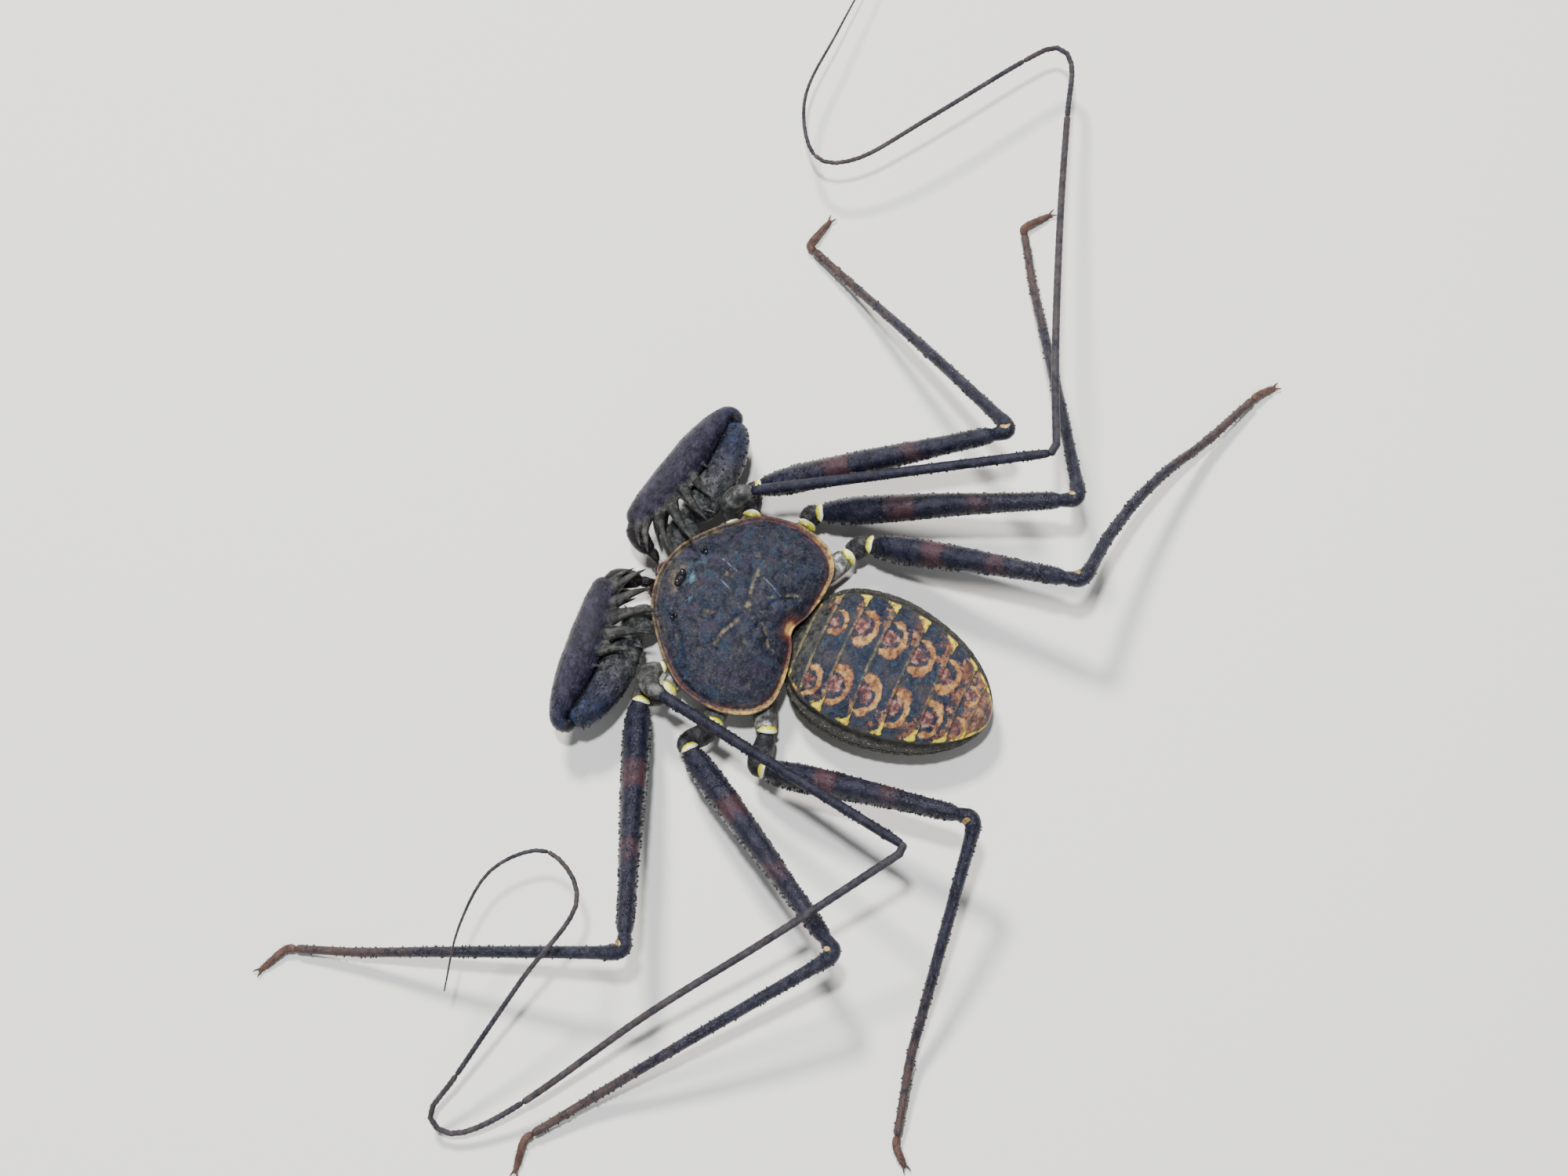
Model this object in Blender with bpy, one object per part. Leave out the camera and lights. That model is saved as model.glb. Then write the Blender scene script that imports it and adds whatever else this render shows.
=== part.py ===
"""A whip spider, Phrynus parvulus, standing still with its pincers folded.

The animal faces -Y, its left side is +X, and its feet stand on the floor, z = 0.
Sizes here are in millimetres; the meshes are made in metres.
The walking legs are pairs 2, 3 and 4. Pair 1 is the pair of long, thin whips.
"""
import math

import bmesh
import bpy
from mathutils import Matrix, Vector

METRE = 0.001
GAP = 0.15
HIP_GAP = 0.22
UP = Vector((0, 0, 1))

# Carapace: right half of the outline, from the front to the notch behind
CARAPACE_OUTLINE = ((0, -6.15), (1.85, -5.8), (3.23, -5.0), (4.82, -3.62), (6.1, -1.93), (6.57, 0),
                    (6.48, 1.54), (5.86, 2.97), (4.73, 3.8), (3.1, 3.88), (1.3, 3.55))
CARAPACE_NOTCH = (0, 3.05)
CARAPACE_MIDDLE = (0, -0.3)
CARAPACE_CROWN = 4.9
CARAPACE_FLOOR = 2.75
RIM_HEIGHT = 3.15
RIM_RISE_FRONT = 0.45
RIM_RISE_NOTCH = 0.25
RIM_THICK = 0.3

# Eyes
MEDIAN_EYE_PLACE = (0.36, -4.64)
MEDIAN_EYE_RADIUS = 0.2
TUBERCLE = (0.75, 0.45, 0.3)
LATERAL_EYE_PLACE = (2.4, -4.04)
LATERAL_EYE_RADIUS = 0.13
EYE_GAP = 0.03

# Underside of the front body, and the coxae that stick out of it: end x, y, z, half width, half depth.
# The coxa of a whip turns up at its end.
STERNUM = (4.9, 3.1, -0.35)
STERNUM_TOP = 2.6
STERNUM_BOTTOM = 1.2
COXA_START = (1.4, 1.85)
WHIP_COXA_TURN = (4.55, -3.15, 1.9)
COXAE = {
    "palp": (2.9, -5.0, 1.85, 0.95, 0.75),
    "1": (5.35, -3.65, 2.4, 0.46, 0.46),
    "2": (6.25, -2.7, 1.85, 0.7, 0.7),
    "3": (7.1, 0.75, 1.85, 0.78, 0.75),
    "4": (6.3, 4.05, 1.85, 0.78, 0.75),
}

# Abdomen: y, half width, top and bottom along its length, and where each back plate starts
ABDOMEN_SHAPE = ((2.95, 1.0, 2.45, 1.6), (3.35, 1.7, 2.6, 1.45), (3.95, 3.0, 3.2, 1.25), (4.95, 4.05, 3.85, 1.1),
                 (6.3, 4.62, 4.3, 1.02), (8.1, 4.9, 4.6, 1.0), (9.8, 4.8, 4.62, 1.0), (11.9, 4.3, 4.4, 1.08),
                 (13.7, 3.5, 3.95, 1.25), (15.1, 2.4, 3.45, 1.5), (16.0, 1.2, 3.05, 1.75), (16.35, 0.45, 2.75, 2.05))
ABDOMEN_WIDEST_LEVEL = 2.4
PLATE_STARTS = (3.95, 4.95, 6.55, 8.45, 10.55, 12.65, 14.4, 15.4, 15.95)
PLATE_RAISE = (0.05, 0.17)
PLATE_STEP = 0.07
PLATE_EDGE_ANGLE = 34
ABDOMEN_ANGLES = (0, 16, 30, PLATE_EDGE_ANGLE, 50, 70, 90, 110, 130, 180 - PLATE_EDGE_ANGLE,
                  150, 164, 180, 205, 237, 270, 303, 335)

# Jaws (chelicerae)
JAW_ROUTE = ((0.72, -4.1, 1.98), (0.72, -5.9, 1.98), (0.72, -6.5, 1.75))
JAW_HALF = (0.56, 0.58)
FANG_ROUTE = ((0.72, -6.2, 1.7), (0.72, -6.75, 1.3), (0.72, -6.5, 0.95))
FANG_HALF = 0.26

# Pincers (palps), drawn for the left side; the left one swings forward by a few degrees
PALP_PIVOT = (3.0, -5.15, 1.85)
PALP_SWING = {"R": 0, "L": -8}
PALP_TROCHANTER_ROUTE = ((3.14, -5.47, 1.9), (3.42, -5.78, 2.2), (3.85, -5.97, 2.5), (4.15, -5.95, 2.6))
PALP_FEMUR_ROUTE = ((4.38, -5.92, 2.66), (6.3, -5.45, 2.95), (8.8, -5.2, 3.15), (10.55, -5.25, 3.2))
PATELLA_ROUTE = ((10.9, -6.95, 3.3), (9.2, -7.36, 3.4), (6.5, -7.86, 3.4), (3.9, -8.6, 3.4), (2.35, -9.15, 3.35))
ELBOW_ROUTE = ((10.74, -5.3, 3.2), (11.3, -5.5, 3.22), (11.5, -6.05, 3.25), (11.25, -6.65, 3.28), (10.6, -6.9, 3.3))
ELBOW_HALF = 0.58
PALP_TIBIA_ROUTE = ((2.12, -9.26, 3.34), (1.75, -9.38, 3.32), (1.36, -9.1, 3.28), (1.12, -8.45, 3.2),
                    (1.0, -7.75, 3.15))
PALP_CLAW_ROUTE = ((0.95, -7.6, 3.14), (0.8, -7.1, 3.1), (0.55, -6.72, 3.05))
SPINE_SIDES = 5

# Spines of the pincers: root point, length, direction seen from above (degrees), rise (degrees), root half width
PATELLA_SPINES = (
    ((6.6, -6.95, 4.05), 2.4, 115, 19, 0.38), ((5.6, -7.1, 4.05), 2.9, 121, 17, 0.42),
    ((4.6, -7.5, 4.0), 3.3, 129, 16, 0.44), ((3.75, -7.85, 3.9), 2.8, 145, 16, 0.4),
    ((2.95, -8.3, 3.8), 2.7, 152, 18, 0.36), ((4.7, -7.7, 2.5), 2.0, 168, -12, 0.3),
    ((3.8, -8.1, 2.55), 2.0, 152, -14, 0.28), ((3.0, -8.6, 2.6), 1.7, 140, -16, 0.26),
)
PALP_FEMUR_SPINES = (
    ((5.1, -5.8, 3.2), 1.7, 98, 30, 0.27), ((5.3, -6.0, 2.3), 1.4, 235, -25, 0.27),
)
PALP_TROCHANTER_SPINES = (((3.6, -6.0, 1.75), 1.7, 255, -12, 0.28),)
PALP_TIBIA_SPINES = (((1.5, -8.7, 3.55), 1.0, 120, 35, 0.2),)

# Walking legs: lengths by pair, and half width and half depth along each segment
FEMUR_LENGTH = {"2": 16.7, "3": 16.5, "4": 14.05}
TIBIA_LENGTH = {"2": 17.2, "3": 17.1, "4": 15.1}
TIBIA_END_LENGTH = {"2": 4.0, "3": 4.4, "4": 4.75}
FOOT_LENGTH = {"2": 2.7, "3": 2.6, "4": 2.0}
TROCHANTER_SHAPE = ((0, 0.6, 0.6), (0.35, 0.68, 0.7), (0.65, 0.66, 0.72), (1, 0.52, 0.6))
FEMUR_SHAPE = ((0, 0.5, 0.62), (0.06, 0.74, 0.95), (0.15, 0.86, 1.15), (0.3, 0.84, 1.14), (0.55, 0.72, 0.95),
               (0.8, 0.58, 0.76), (0.95, 0.54, 0.64), (1, 0.46, 0.54))
TIBIA_SHAPE = ((0, 0.44, 0.5), (0.06, 0.5, 0.54), (0.13, 0.4, 0.44), (0.4, 0.36, 0.4), (0.75, 0.3, 0.33),
               (0.97, 0.28, 0.29), (1, 0.25, 0.26))
FOOT_SHAPE = ((0, 0.25, 0.26), (0.1, 0.29, 0.29), (0.6, 0.27, 0.27), (0.92, 0.24, 0.24), (1, 0.12, 0.15))
KNEE_ROUNDING = 1.1
KNEE_CUT = 1.3
FEMUR_BOW = 0.3
TIBIA_BOW = 0.35
HIP_HEIGHT = 2.5
TIBIA_END_HEIGHT = 1.3
ANKLE_HEIGHT = 0.55
TOE_HEIGHT = 0.14
# Pose of each leg: hip x, y; knee height; directions seen from above of femur, tibia, its end and foot;
# how far the middle of the tibia bows to the left of its direction
LEGS = {
    "R2": ((-8.05, -2.75), 8.4, (120.5, -118.8, -113.7, -179.7), 0),
    "R3": ((-8.05, 1.42), 6.6, (112.6, -148.7, -149.7, 156.5), 0),
    "R4": ((-7.37, 5.23), 7.0, (98.2, 166.0, 158.3, 146.6), 0.9),
    "L2": ((7.95, -3.85), 6.3, (22.6, -68.8, -71.0, -35.6), 0),
    "L3": ((9.47, 0.27), 6.4, (58.4, -37.7, -35.9, -0.8), 0),
    "L4": ((8.65, 5.09), 7.2, (96.6, 8.2, 14.2, 38.7), 0),
}

# Whips: hip, knee, and the route from the knee to the tip
WHIP_HIP = {"R": (-7.0, -2.8, 4.55), "L": (7.4, -2.4, 4.6)}
WHIP_KNEE = {"R": (-15.49, 13.8, 9.2), "L": (10.88, 15.34, 9.2)}
WHIP_ROUTE = {
    "R": ((-21.7, 11.2, 8.4), (-31.1, 7.8, 6.4), (-39.0, 5.2, 4.6), (-42.8, 4.0, 4.0), (-43.7, 2.6, 3.9),
          (-41.8, 1.0, 4.1), (-35.3, -3.1, 4.2), (-31.0, -6.3, 3.6), (-30.2, -9.0, 3.4), (-33.9, -11.3, 3.1),
          (-39.5, -11.4, 2.6), (-45.2, -11.3, 2.1)),
    "L": ((18.5, 10.1, 6.9), (25.5, 5.0, 4.5), (33.0, 0.2, 1.9), (36.2, -2.7, 1.0), (35.9, -4.6, 1.5),
          (33.2, -4.0, 2.7), (26.8, -2.5, 5.6), (21.5, -1.3, 7.0), (19.4, -4.2, 6.9), (21.6, -6.9, 6.2),
          (25.4, -7.35, 5.3), (29.2, -6.6, 4.3)),
}
# Where the whip's tibia ends and its foot is parted, counted in points of the route
WHIP_PARTS = {"R": (3, 6, 9), "L": (3, 6, 9)}
WHIP_TROCHANTER_HALF = (0.44, 0.4, 0.34)
WHIP_FEMUR_HALF = (0.33, 0.36, 0.3)
WHIP_HALF = (0.27, 0.25)
WHIP_TIP_HALF = 0.1
WHIP_TIP_LENGTH = 3.0
WHIP_RING_SPACING = 1.5
WHIP_SIDES = 6
WHIP_KNEE_CUT = 0.5

COLOURS = {
    "carapace": (0.035, 0.028, 0.03, 0.45),
    "underside": (0.16, 0.11, 0.07, 0.5),
    "abdomen": (0.06, 0.045, 0.04, 0.5),
    "eyes": (0.004, 0.004, 0.005, 0.08),
    "jaws": (0.16, 0.03, 0.015, 0.3),
    "palps": (0.03, 0.026, 0.035, 0.4),
    "legs": (0.028, 0.026, 0.035, 0.4),
    "feet": (0.1, 0.04, 0.025, 0.5),
    "whips": (0.05, 0.035, 0.03, 0.45),
}


def clear_scene():
    for item in list(bpy.data.objects):
        bpy.data.objects.remove(item)


def make_material(name):
    red, green, blue, roughness = COLOURS[name]
    material = bpy.data.materials.new(name)
    material.use_nodes = True
    shader = material.node_tree.nodes["Principled BSDF"]
    shader.inputs["Base Color"].default_value = (red, green, blue, 1)
    shader.inputs["Roughness"].default_value = roughness
    shader.inputs["Metallic"].default_value = 0
    return material


def make_object(name, shape, material):
    """Turn a closed bmesh in millimetres into an object in metres."""
    bmesh.ops.recalc_face_normals(shape, faces=shape.faces)
    bmesh.ops.scale(shape, vec=(METRE, METRE, METRE), verts=shape.verts)
    mesh = bpy.data.meshes.new(name)
    shape.to_mesh(mesh)
    shape.free()
    mesh.materials.append(material)
    mesh.shade_smooth()
    mesh.set_sharp_from_angle(angle=math.radians(40))
    item = bpy.data.objects.new(name, mesh)
    bpy.context.scene.collection.objects.link(item)
    return item


def keep_largest(mesh):
    """Keep the connected surface with the largest area."""
    shape = bmesh.new()
    shape.from_mesh(mesh)
    left = set(shape.faces)
    groups = []
    while left:
        group = {left.pop()}
        edge_of_group = list(group)
        while edge_of_group:
            face = edge_of_group.pop()
            near = {other for edge in face.edges for other in edge.link_faces} & left
            left -= near
            group |= near
            edge_of_group.extend(near)
        groups.append(group)
    sizes = [sum(face.calc_area() for face in group) for group in groups]
    largest = groups[sizes.index(max(sizes))]
    bmesh.ops.delete(shape, geom=[face for face in shape.faces if face not in largest], context="FACES")
    bmesh.ops.triangulate(shape, faces=shape.faces)
    shape.to_mesh(mesh)
    shape.free()


def fuse(body, pieces):
    """Join the pieces to the body with one Boolean union and remove them."""
    group = bpy.data.collections.new(body.name + "_pieces")
    for piece in pieces:
        group.objects.link(piece)
    union = body.modifiers.new("union", "BOOLEAN")
    union.operation = "UNION"
    union.operand_type = "COLLECTION"
    union.collection = group
    union.solver = "EXACT"
    seen = body.evaluated_get(bpy.context.evaluated_depsgraph_get())
    joined = bpy.data.meshes.new_from_object(seen)
    body.modifiers.clear()
    body.data = joined
    for piece in pieces:
        bpy.data.objects.remove(piece)
    bpy.data.collections.remove(group)
    keep_largest(joined)


def curve_through(points, per_span=8):
    """Smooth line through the points (Catmull-Rom)."""
    spots = [Vector(point) for point in points]
    spots = [2 * spots[0] - spots[1]] + spots + [2 * spots[-1] - spots[-2]]
    line = []
    for a, b, c, d in zip(spots, spots[1:], spots[2:], spots[3:]):
        for step in range(per_span):
            t = step / per_span
            line.append(0.5 * (2 * b + (c - a) * t + (2 * a - 5 * b + 4 * c - d) * t * t
                               + (3 * b - a - 3 * c + d) * t * t * t))
    line.append(spots[-2])
    return line


def rounded_route(points, reach, steps=6):
    """Straight runs between the points, each corner rounded over the reach."""
    spots = [Vector(point) for point in points]
    line = [spots[0]]
    for before, corner, after in zip(spots, spots[1:], spots[2:]):
        back = before - corner
        onward = after - corner
        start = corner + back.normalized() * min(reach, 0.45 * back.length)
        end = corner + onward.normalized() * min(reach, 0.45 * onward.length)
        for step in range(steps + 1):
            t = step / steps
            line.append(start * (1 - t) ** 2 + corner * 2 * t * (1 - t) + end * t ** 2)
    line.append(spots[-1])
    return line


def line_lengths(line):
    lengths = [0]
    for a, b in zip(line, line[1:]):
        lengths.append(lengths[-1] + (b - a).length)
    return lengths


def point_on(line, lengths, distance):
    """Point and direction at a distance along the line."""
    distance = min(max(distance, 0), lengths[-1])
    index = max(i for i, length in enumerate(lengths[:-1]) if length <= distance)
    run = line[index + 1] - line[index]
    share = (distance - lengths[index]) / run.length
    ahead = line[min(index + 2, len(line) - 1)] - line[index + 1]
    behind = line[index] - line[max(index - 1, 0)]
    start_way = (behind.normalized() + run.normalized()) if behind.length else run.normalized()
    end_way = (ahead.normalized() + run.normalized()) if ahead.length else run.normalized()
    way = start_way.normalized() * (1 - share) + end_way.normalized() * share
    return line[index] + run * share, way.normalized()


def part_of_line(line, start, end):
    """The stretch of a line between two distances."""
    lengths = line_lengths(line)
    inside = [spot for spot, length in zip(line, lengths) if start + 1e-4 < length < end - 1e-4]
    return [point_on(line, lengths, start)[0]] + inside + [point_on(line, lengths, end)[0]]


def halves_at(shape, share):
    """Half width and half depth at a share of the length."""
    for low, high in zip(shape, shape[1:]):
        if share <= high[0]:
            t = (share - low[0]) / (high[0] - low[0])
            return [a + (b - a) * t for a, b in zip(low[1:], high[1:])]
    return list(shape[-1][1:])


def tube(line, shape, sides, spacing, stands=False):
    """Closed bmesh swept along a line; one that stands is cut flat at the floor."""
    lengths = line_lengths(line)
    total = lengths[-1]
    count = max(1, round(total / spacing))
    shares = {round(i / count, 5) for i in range(count + 1)}
    near = 0.35 * spacing / total
    fixed = {station[0] for station in shape}
    shares = {share for share in shares if all(abs(share - other) > near for other in fixed)} | fixed
    bm = bmesh.new()
    rings = []
    for share in sorted(shares):
        place, way = point_on(line, lengths, share * total)
        side = way.cross(UP).normalized()
        over = side.cross(way)
        half_width, half_depth = halves_at(shape, share)
        ring = []
        for k in range(sides):
            angle = 2 * math.pi * (k + 0.5) / sides
            spot = place + side * half_width * math.cos(angle) + over * half_depth * math.sin(angle)
            if stands:
                spot.z = max(spot.z, 0)
            ring.append(bm.verts.new(spot))
        rings.append(ring)
    for low, high in zip(rings, rings[1:]):
        for k in range(sides):
            bm.faces.new((low[k], low[(k + 1) % sides], high[(k + 1) % sides], high[k]))
    bm.faces.new(reversed(rings[0]))
    bm.faces.new(rings[-1])
    return bm


def spine(root, length, heading, rise, half):
    """A pointed spine, slightly curved, as a closed bmesh."""
    flat = math.cos(math.radians(rise))
    way = Vector((flat * math.cos(math.radians(heading)), flat * math.sin(math.radians(heading)),
                  math.sin(math.radians(rise))))
    base = Vector(root)
    side = way.cross(UP).normalized()
    over = side.cross(way)
    bm = bmesh.new()
    rings = []
    for share, width in ((0, 1.0), (0.5, 0.62)):
        middle = base + way * length * share + over * 0.04 * length * share
        rings.append([bm.verts.new(middle + half * width * (side * math.cos(turn) + over * math.sin(turn)))
                      for turn in (2 * math.pi * k / SPINE_SIDES for k in range(SPINE_SIDES))])
    tip = bm.verts.new(base + way * length)
    for k in range(SPINE_SIDES):
        after = (k + 1) % SPINE_SIDES
        bm.faces.new((rings[0][k], rings[0][after], rings[1][after], rings[1][k]))
        bm.faces.new((rings[1][k], rings[1][after], tip))
    bm.faces.new(reversed(rings[0]))
    return bm


def carapace_margin():
    """Closed outline of the carapace seen from above."""
    left = [Vector((x, y, 0)) for x, y in CARAPACE_OUTLINE]
    right = [Vector((-x, y, 0)) for x, y in CARAPACE_OUTLINE[:0:-1]]
    ring = left + [Vector((*CARAPACE_NOTCH, 0))] + right
    closed = [ring[-1]] + ring + ring[:2]
    return curve_through(closed, 2)[2:-3]


def rim_height(x, y):
    front = max(0, (-y - 3.5) / 2.65)
    notch = max(0, 1 - abs(x) / 2.5) if y > 2 else 0
    return RIM_HEIGHT + RIM_RISE_FRONT * front + RIM_RISE_NOTCH * notch


def carapace_top(share, x, y):
    """Height of the carapace; share is 0 in its middle and 1 at its rim."""
    rim = rim_height(x, y)
    dome = (1 - min(share / 0.95, 1) ** 2.3)
    return rim + (CARAPACE_CROWN - rim) * dome


def carapace_top_at(x, y):
    """Height of the carapace over a point."""
    middle = Vector((*CARAPACE_MIDDLE, 0))
    arm = Vector((x, y, 0)) - middle
    best = min(carapace_margin(), key=lambda spot: (spot - middle).angle(arm))
    share = arm.length / (best - middle).length
    edge = middle + arm / share
    return carapace_top(share, edge.x, edge.y)


def ellipsoid(centre, halves, rings=8, around=12):
    bm = bmesh.new()
    bmesh.ops.create_uvsphere(bm, u_segments=around, v_segments=rings, radius=1)
    bmesh.ops.scale(bm, vec=halves, verts=bm.verts)
    bmesh.ops.translate(bm, vec=centre, verts=bm.verts)
    return bm


def make_carapace(material):
    margin = carapace_margin()
    middle = Vector((*CARAPACE_MIDDLE, 0))
    bm = bmesh.new()
    rings = []
    for share, above in ((0.8, False), (0.98, False), (1.0, True), (0.95, True), (0.88, True), (0.76, True),
                         (0.6, True), (0.42, True), (0.22, True)):
        ring = []
        for spot in margin:
            place = middle + (spot - middle) * share
            if above:
                height = carapace_top(share, spot.x, spot.y)
            elif share > 0.9:
                height = rim_height(spot.x, spot.y) - RIM_THICK
            else:
                height = CARAPACE_FLOOR
            ring.append(bm.verts.new((place.x, place.y, height)))
        rings.append(ring)
    count = len(margin)
    for low, high in zip(rings, rings[1:]):
        for k in range(count):
            after = (k + 1) % count
            bm.faces.new((low[k], low[after], high[after], high[k]))
    bm.faces.new(reversed(rings[0]))
    crown = bm.verts.new((middle.x, middle.y, CARAPACE_CROWN))
    for k in range(count):
        bm.faces.new((rings[-1][k], rings[-1][(k + 1) % count], crown))
    carapace = make_object("carapace", bm, material)
    place_y = MEDIAN_EYE_PLACE[1]
    bump = ellipsoid((0, place_y, carapace_top_at(0, place_y)), TUBERCLE)
    fuse(carapace, [make_object("eye_mound", bump, material)])


def eye_lens(x, y, radius, tilt_x, tilt_y, base):
    """Half ball that sits on a slanting spot."""
    bm = bmesh.new()
    bmesh.ops.create_uvsphere(bm, u_segments=10, v_segments=8, radius=radius)
    bmesh.ops.bisect_plane(bm, geom=bm.verts[:] + bm.edges[:] + bm.faces[:], plane_co=(0, 0, -0.2 * radius),
                           plane_no=(0, 0, 1), clear_inner=True)
    bmesh.ops.holes_fill(bm, edges=[edge for edge in bm.edges if edge.is_boundary])
    turn = Matrix.Rotation(math.radians(tilt_y), 4, "Y") @ Matrix.Rotation(math.radians(tilt_x), 4, "X")
    bmesh.ops.transform(bm, matrix=Matrix.Translation((x, y, base)) @ turn, verts=bm.verts)
    return bm


def make_eyes(material):
    for name, side in (("L", 1), ("R", -1)):
        x, y = MEDIAN_EYE_PLACE
        mound = carapace_top_at(0, y) + TUBERCLE[2] * math.sqrt(1 - (x / TUBERCLE[0]) ** 2)
        base = mound + 0.3 * MEDIAN_EYE_RADIUS + EYE_GAP
        bm = eye_lens(side * x, y, MEDIAN_EYE_RADIUS, 0, side * 12, base)
        make_object("median_eye_" + name, bm, material)
        x, y = LATERAL_EYE_PLACE
        base = carapace_top_at(x, y) + 0.45 * LATERAL_EYE_RADIUS + EYE_GAP + 0.05
        tilt = side * 20
        lenses = []
        for turn in (0, 120, 240):
            across = x + 0.14 * math.cos(math.radians(turn))
            along = y + 0.14 * math.sin(math.radians(turn))
            lenses.append(make_object("ocellus", eye_lens(side * across, along, LATERAL_EYE_RADIUS, 15, tilt,
                                                         base - 0.3 * (across - x)), material))
        group = lenses.pop(0)
        group.name = "lateral_eyes_" + name
        fuse(group, lenses)


def coxa_line(name, side):
    """Line of a coxa, from inside the underside to its free end."""
    x, y, z = COXAE[name][:3]
    start_x, start_z = COXA_START
    points = [(start_x, 0.4 * y, start_z), (x, y, z)]
    if name == "1":
        points.insert(1, WHIP_COXA_TURN)
    return curve_through([(side * x, y, z) for x, y, z in points], 4)


def make_underside(material):
    half_x, half_y, middle_y = STERNUM
    bm = bmesh.new()
    around = 20
    rings = []
    for share, height in ((0.55, STERNUM_BOTTOM), (0.85, 1.35), (1.0, 1.75), (1.0, 2.3), (0.94, STERNUM_TOP)):
        rings.append([bm.verts.new((half_x * share * math.cos(turn), middle_y + half_y * share * math.sin(turn),
                                    height)) for turn in (2 * math.pi * k / around for k in range(around))])
    for low, high in zip(rings, rings[1:]):
        for k in range(around):
            after = (k + 1) % around
            bm.faces.new((low[k], low[after], high[after], high[k]))
    bm.faces.new(reversed(rings[0]))
    bm.faces.new(rings[-1])
    underside = make_object("prosoma_underside", bm, material)
    coxae = []
    for name in COXAE:
        half_width, half_depth = COXAE[name][3:]
        shape = ((0, 0.7 * half_width, 0.7 * half_depth), (0.75, half_width, half_depth),
                 (1, 0.9 * half_width, 0.9 * half_depth))
        for side in (1, -1):
            coxae.append(make_object("coxa", tube(coxa_line(name, side), shape, 10, 3.0), material))
    fuse(underside, coxae)


def make_abdomen(material):
    stations = [(ABDOMEN_SHAPE[0][0], 0), (ABDOMEN_SHAPE[1][0], 0)]
    for start, end in zip(PLATE_STARTS, PLATE_STARTS[1:]):
        stations.append((start, PLATE_RAISE[0]))
        stations.append((end - PLATE_STEP, PLATE_RAISE[1]))
    stations.append((PLATE_STARTS[-1], PLATE_RAISE[0]))
    stations.append((ABDOMEN_SHAPE[-1][0], 0))
    bm = bmesh.new()
    rings = []
    for y, raised in stations:
        half_width, top, bottom = halves_at(ABDOMEN_SHAPE, y)
        level = min(ABDOMEN_WIDEST_LEVEL, (top + bottom) / 2)
        ring = []
        for angle in ABDOMEN_ANGLES:
            on_plate = PLATE_EDGE_ANGLE <= angle <= 180 - PLATE_EDGE_ANGLE
            turn = math.radians(angle)
            half_height = (top - level) if angle <= 180 else (level - bottom)
            out = raised if on_plate else 0
            ring.append(bm.verts.new(((half_width + out) * math.cos(turn), y,
                                      level + (half_height + out) * math.sin(turn))))
        rings.append(ring)
    count = len(ABDOMEN_ANGLES)
    for low, high in zip(rings, rings[1:]):
        for k in range(count):
            after = (k + 1) % count
            bm.faces.new((low[k], low[after], high[after], high[k]))
    bm.faces.new(reversed(rings[0]))
    bm.faces.new(rings[-1])
    make_object("abdomen", bm, material)


def make_jaws(material):
    half_width, half_depth = JAW_HALF
    for name, side in (("L", 1), ("R", -1)):
        line = curve_through([(side * x, y, z) for x, y, z in JAW_ROUTE], 4)
        shape = ((0, 0.8 * half_width, 0.8 * half_depth), (0.3, half_width, half_depth),
                 (0.85, half_width, half_depth), (1, 0.6 * half_width, 0.6 * half_depth))
        jaw = make_object("chelicera_" + name, tube(line, shape, 10, 0.8), material)
        fang_line = curve_through([(side * x, y, z) for x, y, z in FANG_ROUTE], 4)
        fang_shape = ((0, FANG_HALF, FANG_HALF), (0.6, 0.8 * FANG_HALF, 0.8 * FANG_HALF),
                      (1, 0.25 * FANG_HALF, 0.25 * FANG_HALF))
        fuse(jaw, [make_object("fang", tube(fang_line, fang_shape, 6, 0.4), material)])


def palp_place(name):
    """Matrix that mirrors and swings what is drawn for the left pincer."""
    pivot = Vector(PALP_PIVOT)
    swing = Matrix.Translation(pivot) @ Matrix.Rotation(math.radians(PALP_SWING[name]), 4, "Z")
    swing = swing @ Matrix.Translation(-pivot)
    if name == "R":
        return Matrix.Scale(-1, 4, (1, 0, 0)) @ swing
    return swing


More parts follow.
